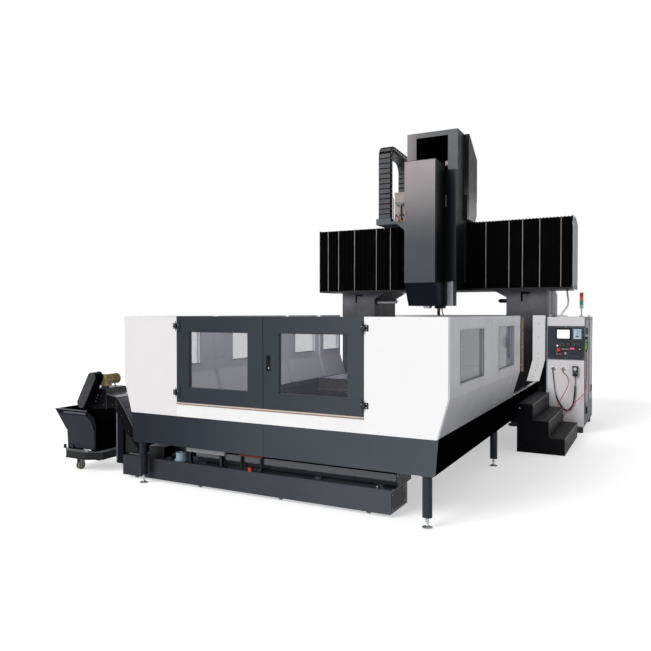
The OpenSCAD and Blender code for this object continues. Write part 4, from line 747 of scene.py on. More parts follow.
def way_cover(name, node, x0, x1, bands):
    p = Piece(name, None, bellows_m, band_m)
    folds = int(round(abs(x1 - x0) / 27.0))
    sect = lambda d: [(750 + d, 2298), (750 + d, 3415 - d), (1150, 3415 - d), (1150, 3379),
                      (787, 3379), (787, 2298)]
    rings = []
    for i in range(folds + 1):
        x = x0 + (x1 - x0) * i / folds
        rings.append([(x, y, z) for y, z in sect(0 if i % 2 == 0 else 14)])
    v = [q for r in rings for q in r]
    f = [(i * 6 + k, i * 6 + (k + 1) % 6, (i + 1) * 6 + (k + 1) % 6, (i + 1) * 6 + k)
         for i in range(folds) for k in range(6)]
    p.put(v, f)
    p.put(rings[0], [(0, 1, 2, 3, 4, 5)])
    p.put(rings[-1], [(5, 4, 3, 2, 1, 0)])
    step = (x1 - x0) / folds
    for b in bands:
        i = round((b - x0) / step / 2) * 2
        x = x0 + step * i
        p.prism("x", x - 3.5, x + 3.5, [(746.5, 2300), (752, 2300), (752, 3411), (1148, 3411),
                                        (1148, 3416), (746.5, 3416)], 1)
    obj = p.done()
    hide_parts(node)
    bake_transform(obj)
    return obj


way_cover("way_cover_left", "bellows_left", -2222, -655, (-2072, -1843, -1495, -1091, -804))
way_cover("way_cover_right", "bellows_right", 2222, 506, (2042, 1731, 1483, 1255, 863))
p = Piece("beam_trim", "frame", light_grey, black, mid_grey)
p.prism("x", 2239.8, 2244, [(744, 2290), (770, 2290), (770, 3395), (1120, 3395), (1120, 3421), (744, 3421)], 0)
p.prism("x", 2239.8, 2242.5, [(790, 2330), (1400, 2330), (1400, 3280), (1130, 3360), (790, 3360)], 2)
for z in (2400, 2700, 3000, 3250):
    p.screw("x", 2242.5, (830, z), 8, 1, 2)
    p.screw("x", 2242.5, (1360, min(z, 3200)), 8, 1, 2)
p.prism("x", -2244, -2239.8, [(744, 2290), (770, 2290), (770, 3395), (1120, 3395), (1120, 3421), (744, 3421)], 0)
p.box((-2229, 2229), (746, 752), (2266, 2296), 1)
p.done(0.8)

# Columns: recess brackets, limit dampers under the haunches, rear cover plates
p = Piece("column_fittings", "frame", cast, light_grey, black_paint, mid_grey, shadowed_column_m, painted_shade_black)
for sx in (-1, 1):
    c = sx * 1495
    p.box((c - 46, c + 77), (903, 915), (2074, 2204), 4)
    p.box((c + 14, c + 48), (892, 916), (2192, 2222), 2)
    # Black plate behind the recess: painted shadow in the gaps at its left and top
    p.box((c - 77, c + 77), (930, 940), (2074, 2234), 5)
    e = 1030 if sx > 0 else 770
    p.lathe("x", (1010, 2092), [(sx * 1188, 0), (sx * 1188, 34), (sx * (e + 30), 34), (sx * (e + 22), 28),
                                (sx * (e + 16), 14), (sx * e, 14), (sx * e, 0)], 2 if sx > 0 else 1, 24)
    if sx < 0:
        p.prism("x", -1188, -810, [(966, 2096), (1054, 2096), (1054, 2150), (966, 2150)], 2)
    p.lathe("x", (1010, 2092), [(sx * 1187, 0), (sx * 1187, 48), (sx * 1174, 48), (sx * 1174, 0)], 2, 24)
    for z in (300, 900, 1500):
        for y, c in ((1951, (sx * 1350, z + 40)), (1951, (sx * 1670, z + 40))):
            p.screw("y", y, c, 9, 1, 3)
p.done(0.8)
p = Piece("duct_covers", "frame", duct_m, black_paint, duct_dark)
for y0, y1, k in ((1956, 2130, 2), (2190, 2434, 0)):
    p.box((1788.2, 1792), (y0, y1), (1175, 2225), k)
    p.screw("x", 1792, ((y0 + y1) / 2, 1200), 6, 1, 1)
    p.screw("x", 1792, ((y0 + y1) / 2, 2200), 6, 1, 1)
p.box((1835, 1840), (1010, 1290), (1830, 2262), 2)
p.box((1835, 1838), (1290, 1420), (1830, 2262), 1)
p.box((1835, 1842), (1420, 1800), (1830, 2262), 2)
p.box((1835, 1840), (1800, 1945), (1830, 2262), 0)
p.done(1.5)
# Head: drag chain of separate links with its cables, glands, slot and seams


def chain_path(step):
    """Points (y, z) and tangents each step mm along the chain's centre line."""
    corner = [(253, 3487), (253, 4688), (1190, 4640), (1190, 4077)]
    pts, prev = [], Vector(corner[0])
    for a, b, c, r in zip(corner, corner[1:], corner[2:], (112.0, 230.0)):
        a, b, c = Vector(a), Vector(b), Vector(c)
        u, w = (a - b).normalized(), (c - b).normalized()
        half = u.angle(w) / 2
        d = r / math.tan(half)
        mid = b + (u + w).normalized() * (r / math.sin(half))
        p0, p1 = b + u * d, b + w * d
        pts += [prev.lerp(p0, i / 40) for i in range(40)]
        a0, a1 = math.atan2(*(p0 - mid).yx), math.atan2(*(p1 - mid).yx)
        if a1 - a0 > math.pi:
            a1 -= 2 * math.pi
        if a0 - a1 > math.pi:
            a1 += 2 * math.pi
        pts += [mid + r * Vector((math.cos(a0 + (a1 - a0) * i / 24), math.sin(a0 + (a1 - a0) * i / 24)))
                for i in range(24)]
        prev = p1
    pts += [prev.lerp(Vector(corner[-1]), i / 40) for i in range(41)]
    out, run, want = [], 0.0, 0.0
    for p, q in zip(pts, pts[1:]):
        seg = (q - p).length
        while seg > 1e-9 and want <= run + seg + 1e-6:
            out.append((p.lerp(q, (want - run) / seg), (q - p).normalized()))
            want += step
        run += seg
    return out, run


_, total = chain_path(50.0)
links = int(round(total / 84.3))
path, _ = chain_path(total / links)
cx = (-817, -603)
p = Piece("drag_chain_links", "saddle", chain_m, chain_side, ground, gold_m, brown_m, orange_m)


def link_box(x, s, n, at, along, out, k):
    """Box with limits in the link's own axes: x, along the chain and outwards."""
    c = [(a, at + along * b + out * d) for d in n for b in s for a in x]
    p.put([(a, q[0], q[1]) for a, q in c],
          [(0, 2, 3, 1), (4, 5, 7, 6), (0, 1, 5, 4), (1, 3, 7, 5), (3, 2, 6, 7), (2, 0, 4, 6)], k)


for i in range(links):
    (a, t), (b, _) = path[i], path[min(i + 1, len(path) - 1)]
    along = (b - a).normalized() if (b - a).length > 1 else t
    out = Vector((-along.y, along.x))
    mid = (a + b) / 2
    h = (b - a).length / 2
    link_box((cx[0] + 6, cx[1] - 6), (-h + 3, h - 15), (46, 54), mid, along, out, 0)
    link_box((cx[0] + 6, cx[1] - 6), (-h + 3, h - 15), (-54, -48), mid, along, out, 0)
    link_box((cx[0] + 10, cx[1] - 10), (-h - 2, h + 2), (40, 45), mid, along, out, 1)
    for x0, x1, grow in ((cx[0], cx[0] + 7, 1), (cx[0] + 7, cx[0] + 14, -1), (cx[1] - 7, cx[1], 1), (cx[1] - 14, cx[1] - 7, -1)):
        s = (-h - (12 if grow < 0 else 0), h + (12 if grow > 0 else 0))
        link_box((x0, x1), s, (-50, 50), mid, along, out, 1)
    for x0, x1 in ((cx[1], cx[1] + 4), (cx[0] - 4, cx[0])):
        p.lathe("x", (a.x, a.y), [(x0, 0), (x0, 13), (x1, 11), (x1, 0)] if x0 >= cx[1] else
                [(x1, 0), (x1, 13), (x0, 11), (x0, 0)], 2, 14)
for j, (x, off, r, k) in enumerate(((-775, 6, 15, 1), (-735, -8, 12, 5), (-695, 8, 14, 1), (-652, -6, 12, 4))):
    p.tube([(x, q.x - t.y * off, q.y + t.x * off) for q, t in path], r, k, 10)
obj = p.done(1.5)
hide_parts("drag_chain")
p = Piece("chain_glands", "saddle", gold_m, black, brown_m, ground, orange_m)
for x, y in ((-790, 222), (-750, 222), (-710, 222), (-670, 222), (-560, 300), (-490, 290), (-430, 270), (-370, 250)):
    z = 3487 if x < -600 else 3427
    p.lathe("z", (x, y), [(z, 0), (z, 19), (z + 14, 19), (z + 14, 0)], 0, 6)
    p.lathe("z", (x, y), [(z + 14, 0), (z + 14, 14), (z + 34, 11), (z + 34, 0)], 0, 16)
for i, (x, y) in enumerate(((-560, 300), (-490, 290), (-430, 270), (-370, 250))):
    p.tube([(x, y, 3455), (x - 4, y + 30, 3520), (x - 20, y + 110, 3575), (x - 30, y + 210, 3560),
            (x - 30, y + 300, 3500), (x - 30, 606, 3470)], 9, (1, 4, 1, 2)[i], 10)
for i in range(12):
    z = 3500 + i * 26
    p.lathe("z", (-586, 300), [(z, 0), (z, 9), (z + 9, 10), (z + 17, 9), (z + 17, 0)], 0 if i % 2 else 1, 12)
p.tube([(-586, 300, 3427), (-586, 300, 3825), (-600, 300, 3850)], 6.5, 2, 10)
p.done()
p = Piece("chain_arm_details", "saddle", light_arm, mid_grey, black, slate_mid)
p.box((-852, -586), (1036, 1304), (4040, 4078), 0)
p.prism("y", 1000, 1040, [(-838, 3884), (-668, 3884), (-668, 3842), (-716, 3842), (-716, 3470), (-740, 3470),
                          (-740, 3842), (-800, 3842)], 1)
for x in (-820, -770, -660, -612):
    p.screw("y", 1039.5, (x, 3950), 7, -1, 1)
p.prism("y", 192.5, 206, [(-489, 3385), (-302, 3385), (-302, 3240)], 3)
for x in (-830, -700, -560, -430):
    p.screw("y", 191.8, (x, 3406), 6, -1, 2)
p.done(2.0)
# Near-black sheets beside the head stand in for its shade (painted shade); a light bracket with screws
p = Piece("head_shade_sheets_and_bracket", "saddle", painted_shade_black, black, light_arm, ground)
p.box((-652, -480), (800, 806), (2330, 3425), 0)
p.box((-702.5, -651.5), (738.6, 740), (2320, 3425), 0)
p.box((348, 389), (206, 300), (4275, 4350), 2)
for z in (4290, 4335):
    p.screw("y", 206, (368, z), 7, -1, 1)
p.done(2.0)
p = Piece("head_seams", "saddle", head_line, black, rear_line, hump_m)
p.box((552, 553.2), (612 - 6, 612), (2400, 4849), 0)
for z in (2420, 2980, 3540, 4100, 4660, 4820):
    p.screw("x", 552, (240, z), 5, 1, 1, 2.5)
p.box((-302, 552), (200, 612), (4849, 4850), 0)
for y in (660, 1100):
    for z in (3900, 4300):
        p.screw("x", 628, (y, z), 6, 1, 1, 3)
p.prism("x", 628, 631, [(660, 3480), (1040, 3480), (1120, 3560), (1120, 3830), (660, 3830)], 3)
for y, z in ((690, 3510), (1020, 3510), (1090, 3600), (1090, 3800), (690, 3800)):
    p.screw("x", 631, (y, z), 7, 1, 1)
# back of the head: louvres, lifting plates and screws
for i in range(9):
    z = 4020 + i * 42
    p.prism("x", -220, 470, [(1149.5, z), (1149.5, z + 30), (1158, z + 4), (1158, z)], 1)
for x in (-340, 590):
    for z in (3900, 4180, 4480):
        p.screw("y", 1150, (x, z), 7, 1, 3)
for x in (-340, 125, 590):
    for z in (3500, 3780):
        p.screw("y", 1150, (x, z), 9, 1, 3)
p.done(0.8)
p = Piece("ram_details", "ram", silver_line, dark_steel, black, navy_hose, brown_m, orange_m, strip_m)
p.box((430, 529), (48, 152), (2001, 2384), 0)
p.box((534, 557), (60, 150), (2001, 2384), 1)
p.box((529, 534), (64, 148), (2001, 2384), 2)
p.prism("x", 374, 430, [(92, 2001), (148, 2001), (148, 2384), (92, 2384)], 1)
p.box((-285, 548), (112, 188), (2379, 2386), 2)
p.lathe("z", (500, 78), [(2386, 0), (2386, 9), (2398, 7), (2398, 0)], 6, 12)
p.box((275, 424), (-112, 12), (1960, 2006), 2)
# Painted highlight: a bright strip in the slot
p.prism("x", 388, 393, [(103, 3590), (103, 3778), (110, 3782), (110, 3586)], 6)
for x, dx, top, low in ((309, -10, 5, 3), (325, 10, 5, 3), (341, 16, 4, 4), (386, 26, 4, 3)):
    y = -50 - (0 if x < 380 else 20)
    p.tube([(x, y, 1960), (x, y, 1925)], 10.5, top, 12)
    p.tube([(x, y, 1925), (x, y, 1905), (x, y, 1845)] if x < 380 else [(x, y, 1925), (x + 8, y, 1890), (x + dx, y, 1845)], 8.6, low, 12)
p.box((-120, 370), (-410.8, -409.5), (4254, 4260), 2)
for z in (2400, 3320, 4220):
    p.screw("x", 374, (-370, z), 5, 1, 2, 2.5)
    p.screw("x", -124, (-370, z), 5, -1, 2, 2.5)
p.prism("y", -219, 190, [(-123, 2000), (373, 2000), (373, 2007), (-123, 2007)], 2)
p.done(1.2)
# Cabinet: control units, keys, knobs, glands, pendant face, side, plinth
yk = 753.0
p = Piece("panel_controls", "frame", panel_face, bezel_m, screen_m, blue_key, key_m, black, red_paint,
          green_paint, pink_m, steel, line_m, knob_m, blue_key, lamp_m)
p.box((1972, 2392), (yk - 1.2, yk), (1176, 1440), 0)
p.frame("y", yk - 12.5, yk - 8, ((1979, 2232), (1459, 1658)), ((2013, 2196), (1488, 1621)), 1)
p.frame("y", yk - 9.5, yk - 8, ((1975, 2236), (1455, 1662)), ((1979, 2232), (1459, 1658)), 10)
p.box((2013, 2196), (yk - 10.8, yk - 10.2), (1488, 1621), 2)
for i in range(10):
    p.box((2015 + i * 18.2, 2028 + i * 18.2), (yk - 13.6, yk - 12.4), (1467, 1476), 0)
for i in range(6):
    p.box((2208, 2220), (yk - 13.6, yk - 12.4), (1497 + i * 20, 1509 + i * 20), 0)
p.frame("y", yk - 12.5, yk - 8, ((2244, 2384), (1463, 1659)), ((2255, 2373), (1479, 1638)), 1)
p.frame("y", yk - 9.5, yk - 8, ((2240, 2388), (1459, 1663)), ((2244, 2384), (1463, 1659)), 10)
p.box((2255, 2373), (yk - 10.8, yk - 9.8), (1479, 1638), 3)
for r in range(7):
    for c in range(5):
        if r in (1, 2) and c in (1, 2, 3):
            continue
        k = 4 if c < 2 or r == 0 else 11 if c == 2 else 12
        p.box((2260 + c * 22.5, 2276 + c * 22.5), (yk - 13.2, yk - 10.8), (1485 + r * 21.5, 1499 + r * 21.5),
              min(k, 12) if k != 12 else 3)
p.box((2288, 2332), (yk - 13.5, yk - 10.8), (1512, 1528), 5)
for x in (2116, 2197, 2270, 2341):
    p.lathe("y", (x, 1364), [(yk - 1.2, 0), (yk - 1.2, 19), (yk - 4, 19), (yk - 5, 14), (yk - 17, 12.5), (yk - 18, 11), (yk - 18, 0)], 5, 24)
    p.box((x - 1.4, x + 1.4), (yk - 18.8, yk - 18), (1364, 1375), 4)
p.lathe("y", (2033, 1298), [(yk - 1.2, 0), (yk - 1.2, 29), (yk - 3, 29), (yk - 3, 15), (yk - 20, 15),
                            (yk - 21, 24), (yk - 29, 25), (yk - 33, 20), (yk - 34, 0)], 6, 28)
p.lathe("y", (2017, 1370), [(yk - 1.2, 0), (yk - 1.2, 12), (yk - 6, 11), (yk - 9, 7), (yk - 9.5, 0)], 13, 20)
for x, z, r, k in ((2060, 1372, 8, 6), (2013, 1236, 12, 7), (2059, 1235, 13, 6), (2137, 1246, 15, 9),
                   (2137, 1246, 9, 4), (2230, 1250, 8, 5), (2290, 1252, 8, 5), (2342, 1240, 8, 5),
                   (2318, 1330, 6, 5), (2318, 1300, 6, 5), (2348, 1318, 7, 4), (2348, 1296, 7, 5), (2348, 1336, 7, 5)):
    p.lathe("y", (x, z), [(yk - 1.2, 0), (yk - 1.2, r + 3), (yk - 3, r + 3), (yk - 3, r),
                          (yk - 8, r * 0.9), (yk - 9, r * 0.6), (yk - 9, 0)], k, 20)
p.box((2204, 2269), (yk - 2.6, yk - 1.2), (1314, 1341), 8)
p.frame("y", yk - 3.2, yk - 1.2, ((2200, 2273), (1310, 1345)), ((2204, 2269), (1314, 1341)), 5)
p.box((2078, 2190), (yk - 2.0, yk - 1.2), (1316, 1321), 4)
for x in (2078, 2158, 2238, 2306):
    p.box((x, x + 36), (yk - 1.8, yk - 1.2), (1398, 1403), 10)
    p.box((x, x + 30), (yk - 1.8, yk - 1.2), (1206, 1210), 10)
for x in (1890, 2140, 2398):
    for z in (1178, 1668):
        p.screw("y", yk, (x, z), 5, -1, 9, 2.5)
obj = p.done(0.8)
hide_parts("control_keys")

p = Piece("cabinet_fittings", "frame", steel, black_paint, red_paint, edge_blue, cabinet_low, mid_grey, rubber, gun_green)
for x, k in ((1952, 1), (2098, 2)):
    p.lathe("y", (x, 1012), [(765, 0), (765, 28), (757, 28), (757, 0)], 0, 6)
    p.lathe("y", (x, 1012), [(757, 0), (757, 25), (738, 24.6), (737, 20), (737, 13), (741, 12)], 0, 24)
    p.lathe("y", (x, 1012), [(745, 0), (745, 13), (734, 11), (734, 0)], k, 20)
p.box((1850, 1868), (763.6, 765), (655, 1823), 3)
p.box((2415, 2418), (880, 902), (430, 1790), 1)
p.box((2415, 2421), (892, 1058), (418, 470), 1)
p.box((2422, 2451), (768, 802), (1318, 1420), 7)
p.tube([(2440, 785, 1512), (2453, 785, 1506), (2458, 785, 1480), (2458, 785, 1350), (2453, 785, 1318), (2438, 785, 1306)], 6, 1, 10)
p.box((1852, 2413), (764, 765), (104, 108), 5)
p.box((1870, 2413), (763.4, 765), (1144, 1152), 5)
for x in (1862, 2404):
    for z in (1795, 1690):
        p.screw("y", 765, (x, z), 5, -1, 5, 2.5)
for i in range(10):
    z = 1180 + i * 46
    p.prism("x", 1960, 2310, [(2155, z), (2155, z + 34), (2166, z + 5), (2166, z)], 4)
p.frame("y", 2155, 2160, ((1900, 2370), (300, 1740)), ((1912, 2358), (312, 1728)), 4)
for x in (1925, 2340):
    for z in (340, 1000, 1700):
        p.screw("y", 2156, (x, z), 7, 1, 1)
for x in (1900, 2360):
    for y in (830, 2090):
        p.lathe("z", (x, y), [(1824, 0), (1824, 16), (1832, 16), (1832, 0)], 0, 20)
        p.tube([(x - 17, y, 1832), (x - 15, y, 1848), (x, y, 1858), (x + 15, y, 1848), (x + 17, y, 1832)], 4.5, 0, 8)
p.lathe("z", (2350, 950), [(1824, 0), (1824, 34), (1828, 34), (1832, 26), (1850, 17), (1864, 13), (1864, 0)], 3, 24)
p.done(0.8)

p = Piece("side_door_fittings", "cabinet_door", black, steel, seal_m, line_m)
X = 2415.0
p.box((X, X + 2.5), (1462, 1486), (430, 1770), 0)
p.box((X, X + 2.5), (1602, 1612), (430, 1770), 3)
for z in (420,):
    p.box((X, X + 2.5), (1126, 2106), (z, z + 7), 0)
p.box((X, X + 4), (1862, 1904), (560, 648), 0)
p.lathe("x", (1883, 632), [(X + 4, 0), (X + 4, 12), (X + 8, 12), (X + 8, 0)], 1, 20)
for z in (1690, 1735):
    p.screw("x", X, (1560, z), 6, 1, 1)
p.box((X, X + 5), (1225, 1262), (1595, 1640), 0)
p.done(1.0)

p = Piece("pendant_face", "frame", white_key, black, steel, knob_m, red_paint)
yp = 715.0
p.box((2263, 2307), (yp - 1.6, yp), (990, 1036), 0)
for x, z in ((2272, 1014), (2299, 1014)):
    p.lathe("y", (x, z), [(yp - 1.6, 0), (yp - 1.6, 6), (yp - 9, 5.5), (yp - 10, 0)], 3, 20)
p.lathe("y", (2285, 944), [(yp, 0), (yp, 28), (yp - 3, 28), (yp - 4, 26), (yp - 4, 23), (yp - 2.5, 22), (yp - 2.5, 0)], 3, 32)
p.lathe("y", (2285, 944), [(yp - 2.5, 0), (yp - 2.5, 22), (yp - 9, 21), (yp - 10, 19), (yp - 10, 0)], 1, 28)
p.lathe("y", (2296, 952), [(yp - 10, 0), (yp - 10, 4.5), (yp - 20, 4), (yp - 20, 0)], 2, 14)
p.lathe("y", (2262, 1047), [(yp, 0), (yp, 4), (yp - 4, 3), (yp - 4, 0)], 4, 12)
p.done(0.8)

# Stairs: ribbed treads, fixing bolts, edge folds
p = Piece("stair_details", "frame", rib_m, steel, stair_edge)
for i in range(3):
    z = 655.0 - 218.33 * i
    x0 = 1735 + 205.7 * i
    for j in range(9):
        x = x0 + 18 + j * 20.5
        p.prism("y", -1020, 452, [(x, z - 0.5), (x + 7, z - 0.5), (x + 5.6, z + 1.8), (x + 1.4, z + 1.8)], 0)
    p.box((x0 + 201, x0 + 206.6), (-1034.6, 467.6), (z - 16, z + 0.8), 2)
for x, z in ((1768, 597), (1781, 120), (2300, 120)):
    p.lathe("y", (x, z), [(-1034, 0), (-1034, 12), (-1036, 12), (-1036, 8), (-1041, 7), (-1041, 0)], 1 if z > 200 else 0, 6)
p.done(0.5)
# Conveyor: guard bolts and seam, side flanges, cover bands, motor fins, gearbox
p = Piece("conveyor_details", "frame", black_paint, steel, edge_highlight_grey, gloss_m, slate_dark)
low, high, r = Vector((-2649, 821)), Vector((-2474, 1127)), 60.0
axis = (high - low).normalized()
norm = Vector((-axis.y, axis.x))


def stadium(rad, n=18):
    a0 = math.atan2(norm.y, norm.x)
    pts = [low + rad * Vector((math.cos(a0 + math.pi * i / n), math.sin(a0 + math.pi * i / n))) for i in range(n + 1)]
    pts += [high + rad * Vector((math.cos(a0 + math.pi + math.pi * i / n), math.sin(a0 + math.pi + math.pi * i / n))) for i in range(n + 1)]
    return [tuple(q) for q in pts]


p.prism("y", -4548, -4540, stadium(r + 1.2), 4)
p.prism("y", -4434, -4426, stadium(r + 6), 0)
for t in (0.0, 0.5, 1.0):
    c = low.lerp(high, t)
    for s in (-1, 1):
        q = c + norm * s * (r - 10)
        p.screw("y", -4548, (q.x, q.y), 6, -1, 0, 3)
for x, z in ((-2515, 871), (-2532, 834), (-2498, 907), (-2440, 905), (-2400, 800), (-2260, 808), (-2180, 812),
             (-2120, 690), (-2010, 520), (-1960, 440), (-1880, 330)):
    p.lathe("y", (x, z), [(-4425, 0), (-4425, 7), (-4428, 7), (-4430, 5), (-4430, 0)], 1 if x < -2490 else 2, 6)
side = [(-1789, 400), (-1950, 578), (-2091, 781), (-2187, 892), (-2358, 927)]
for (xa, za), (xb, zb) in zip(side, side[1:]):
    d = Vector((xb - xa, zb - za)).normalized()
    n = Vector((d.y, -d.x)) * (1 if Vector((d.y, -d.x)).x > 0 or d.y == 0 else -1)
    q = [Vector((xa, za)), Vector((xb, zb)), Vector((xb, zb)) + n * 7, Vector((xa, za)) + n * 7]
    p.prism("y", -4431, -4405, [tuple(v) for v in q], 2)
    p.prism("y", -4105, -4079, [tuple(v) for v in q], 2)
    m = [Vector((xa, za)) + d * 12, Vector((xb, zb)) - d * 12]
    q = [m[0], m[1], m[1] + n * 4, m[0] + n * 4]
    p.prism("y", -4400, -4110, [tuple(v) for v in q], 3)
p.prism("y", -4431, -4079, [(-2560, 985), (-2386, 985), (-2386, 991), (-2560, 991)], 2)
for x, z0, z1 in ((-2358, 750, 925), (-2200, 752, 885)):
    p.prism("y", -4430, -4425, [(x - 12, z0), (x + 12, z0), (x + 12, z1), (x - 12, z1)], 0)
p.prism("y", -4430, -4426, [(-2202, 150), (-2180, 150), (-2180, 700), (-2202, 735)], 2)
p.prism("y", -4404, -4398, [(-2110, 262), (-2110, 560), (-2088, 548), (-1834, 280), (-1834, 262)], 0)
p.done(0.8)
p = Piece("drive_details", "frame", khaki, ochre, black, steel)
for i in range(14):
    a = 2 * math.pi * i / 14
    u = Vector((math.cos(a), math.sin(a)))
    w = Vector((-u.y, u.x)) * 2.2
    c = Vector((-2402, 1098))
    q = [c + u * 46 - w, c + u * 46 + w, c + u * 60 + w * 0.7, c + u * 60 - w * 0.7]
    p.prism("y", -4340, -4222, [tuple(v) for v in q], 0)
for y in (-4350, -4222):
    p.lathe("y", (-2402, 1098), [(y, 0), (y, 62), (y + 9, 62), (y + 9, 0)], 1, 32)
p.lathe("y", (-2402, 1098), [(-4205, 0), (-4205, 47), (-4196, 42), (-4194, 0)], 0, 28)
p.box((-2466, -2448), (-4325, -4262), (1070, 1124), 1)
p.prism("x", -2460, -2345, [(-4426, 1030), (-4350, 1030), (-4350, 1042), (-4426, 1042)], 1)
for x, z in ((-2440, 1060), (-2365, 1060), (-2440, 1142), (-2365, 1142)):
    p.screw("y", -4425.5, (x, z), 7, -1, 3)
for y in (-4410, -4365):
    for z in (1060, 1142):
        p.screw("x", -2350, (y, z), 6, 1, 3)
p.lathe("x", (-4388, 1100), [(-2350, 0), (-2350, 26), (-2342, 24), (-2342, 0)], 1, 24)
p.tube([(-2457, -4264, 1090), (-2457, -4230, 1080), (-2457, -4200, 1050), (-2457, -4190, 988)], 7, 2, 10)
p.done(0.6)

# Chip cart: rim folds, side plate, hinge, handle, wheels
p = Piece("cart_details", "frame", edge_highlight_grey, navy_plate, steel, wheel_m, black, rubber)
p.prism("y", -4486, -4476, [(-3163, 711), (-3154, 717), (-2962, 484), (-2966, 470)], 0)
p.box((-3160, -2627), (-4486, -4468), (706, 715), 0)
p.box((-3160, -2627), (-3984, -3966), (706, 715), 0)
p.prism("y", -4484.5, -4480, [(-3100, 655), (-2650, 655), (-2560, 600), (-2500, 480), (-2495, 262), (-2932, 262), (-2948, 470)], 1)
p.box((-3010, -2640), (-4489, -4484), (668, 690), 0)
for x, z in ((-2900, 300), (-2720, 300), (-2530, 300), (-2900, 560), (-2560, 540)):
    p.screw("y", -4484.5, (x, z), 7, -1, 4, 3)
for x in (-2985, -2860):
    p.prism("y", -4500, -4484, [(x - 20, 240), (x + 20, 240), (x + 14, 290), (x - 14, 290)], 4)
p.box((-2600, -2560), (-4530, -4486), (240, 262), 2)
p.lathe("x", (-4510, 258), [(-2640, 0), (-2640, 9), (-2520, 9), (-2520, 0)], 2, 14)
p.prism("z", 150, 158, [(-2991, -4463), (-2893, -4566), (-2567, -4566), (-2378, -4463), (-2386, -4458), (-2570, -4557), (-2890, -4557), (-2984, -4459)], 4)
p.prism("z", 236, 241.5, [(-2991, -4463), (-2893, -4566), (-2567, -4566), (-2378, -4463), (-2392, -4456), (-2574, -4545), (-2886, -4545), (-2975, -4452)], 0)
for x, y in ((-2765, -4450), (-2920, -4030), (-2450, -4030)):
    for s in (-1, 1):
        e = x + s * 12
        p.lathe("x", (y, 50), [(x, 0), (x, 44), (e + s * 4, 40), (e + s * 6, 20), (e + s * 9, 9), (e + s * 9, 0)], 3, 28)
    p.lathe("x", (y, 50), [(x - 14, 36), (x - 15, 48), (x - 10, 50.5), (x + 10, 50.5), (x + 15, 48), (x + 14, 36)], 5, 32)
    p.lathe("x", (y, 50), [(x - 26, 0), (x - 26, 8), (x + 26, 8), (x + 26, 0)], 2, 12)
p.done(0.8)

# Tank: folded rim, cover seams, pump lid, fill cap; trough end and lips
p = Piece("tank_details", "frame", edge_highlight_grey, gloss_m, pump_m, black_paint, steel, red_m, tank_m)
p.box((-2024, 1268), (-4507, -4499), (248, 259), 6)
p.box((-2022, 1266), (-4500, -4494), (255, 259), 0)
for x in (-1788, -1300, -720, -100, 560):
    p.box((x, x + 3), (-4498, -4450), (256.5, 259.5), 3)
p.lathe("z", (-1254, -4395), [(333, 0), (333, 66), (344, 66), (347, 60), (347, 0)], 2, 36)
p.lathe("z", (-1254, -4395), [(347, 0), (347, 22), (354, 20), (354, 0)], 4, 24)
for i in range(6):
    a = 2 * math.pi * i / 6
    p.screw("z", 269, (-1254 + 70 * math.cos(a), -4395 + 70 * math.sin(a)), 5, 1, 4, 4)
p.prism("x", -1006, 1301, [(-4447, 338), (-4452, 341), (-4452, 398), (-4445, 402), (-4440, 402), (-4445, 396)], 1)
p.prism("x", -1006, 1301, [(-4446, 340), (-4390, 277), (-4393, 274), (-4450, 336)], 1)
p.prism("x", 1301, 1306, [(-4452, 402), (-4452, 338), (-4392, 272), (-4062, 272), (-4062, 402)], 3)
for y in (-4430, -4340, -4200, -4090):
    p.screw("x", 1306, (y, 385), 7, 1, 4, 3)
p.box((1180, 1296), (-4448, -4390), (262, 274), 3)
p.lathe("y", (1120, 268), [(-4470, 0), (-4470, 8), (-4440, 8), (-4440, 0)], 4, 12)
p.box((-300, -262), (-4505, -4490), (259, 300), 5)
p.lathe("z", (-620, -4460), [(257, 0), (257, 30), (266, 28), (266, 0)], 3, 24)
p.box((1266.2, 1268), (-4480, -4120), (62, 230), 3)
for y in (-4460, -4140):
    for z in (80, 210):
        p.screw("x", 1268, (y, z), 6, 1, 4, 3)
for x in (-1600, -600, 500):
    p.box((x, x + 180), (-4058, -4055), (90, 200), 3)
p.done(0.8)

# Interior: table edges and slots, wall posts
p = Piece("table_details", "table", table_edge, steel, black)
for x in range(-840, 841, 240):
    p.box((x - 9, x + 9), (-1700.6, -1699.6), (905, 943.2), 2)
    p.box((x - 16, x + 16), (-1700.8, -1699.6), (893, 909), 2)
p.box((-962, 962), (-1703, -1699), (770, 792), 0)
for x in range(-900, 901, 300):
    p.screw("y", -1700, (x, 840), 9, -1, 2, 4)
p.done(0.6)
p = Piece("wall_posts", "frame", inner, mid_grey, black)
for y in (-3022, -1200, -134):
    for z in (560, 900, 1300, 1700):
        p.screw("x", -1734, (y - 40, z), 6, 1, 1)
        p.screw("x", -1734, (y + 40, z), 6, 1, 1)
for sx, y in ((-1, -3022), (-1, -1200), (-1, -134), (1, -3022)):
    p.prism("y", y - 45, y + 45, [(sx * 1734, 1150), (sx * 1792, 1150), (sx * 1693, 815), (sx * 1640, 815)], 0)
p.box((-1790, 1790), (-4588, -4586), (1838, 1848), 0)
p.done()

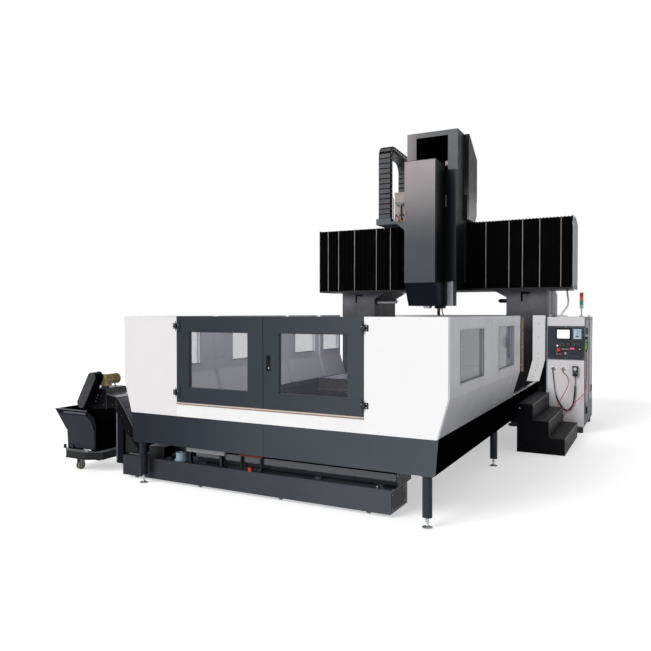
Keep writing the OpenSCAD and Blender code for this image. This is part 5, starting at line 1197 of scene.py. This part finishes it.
# Light and stage
world = bpy.data.worlds.new("world")
scene.world = world
world.use_nodes = True
wt = world.node_tree
back = wt.nodes["Background"]
back.inputs[0].default_value = (1, 1, 1, 1)
path = wt.nodes.new("ShaderNodeLightPath")
seen = wt.nodes.new("ShaderNodeMath")
seen.operation = "MAXIMUM"
wt.links.new(path.outputs["Is Camera Ray"], seen.inputs[0])
wt.links.new(path.outputs["Is Transmission Ray"], seen.inputs[1])
seen2 = wt.nodes.new("ShaderNodeMath")
seen2.operation = "MAXIMUM"
wt.links.new(seen.outputs[0], seen2.inputs[0])
wt.links.new(path.outputs["Is Glossy Ray"], seen2.inputs[1])
level = wt.nodes.new("ShaderNodeMapRange")
level.inputs[3].default_value = 0.38
level.inputs[4].default_value = 1.0
wt.links.new(seen2.outputs[0], level.inputs[0])
wt.links.new(level.outputs[0], back.inputs[1])

sun_data = bpy.data.lights.new("key", "SUN")
sun_data.energy = 2.05
sun_data.angle = 0.6
sun = bpy.data.objects.new("key", sun_data)
sun.rotation_euler = Vector((-0.40, -0.76, 0.51)).to_track_quat("Z", "Y").to_euler()
scene.collection.objects.link(sun)

floor_m = Mat("floor_material")
floor_m.b.inputs["Roughness"].default_value = 0.8
floor_m.link(floor_m.mix(floor_m.ramp(floor_m.noise(0.8), 0.3, 0.7), tone("#f4f4f4"), tone("#f8f8f8")),
             floor_m.b.inputs["Base Color"])
lp = floor_m.node("ShaderNodeLightPath")
floor_m.b.inputs["Emission Color"].default_value = (1, 1, 1, 1)
seen3 = floor_m.math("MAXIMUM", floor_m.math("MAXIMUM", lp.outputs["Is Camera Ray"],
                                             lp.outputs["Is Transmission Ray"]), lp.outputs["Is Glossy Ray"])
floor_m.link(floor_m.math("MULTIPLY", seen3, 0.5), floor_m.b.inputs["Emission Strength"])
floor_mesh = bpy.data.meshes.new("floor")
floor_mesh.from_pydata([(-60, -60, 0), (60, -60, 0), (60, 90, 0), (-60, 90, 0)], [], [(0, 1, 2, 3)])
floor = bpy.data.objects.new("floor", floor_mesh)
floor.location.z = -0.001
scene.collection.objects.link(floor)
floor_mesh.materials.append(floor_m.m)

scene.view_settings.view_transform = "Standard"
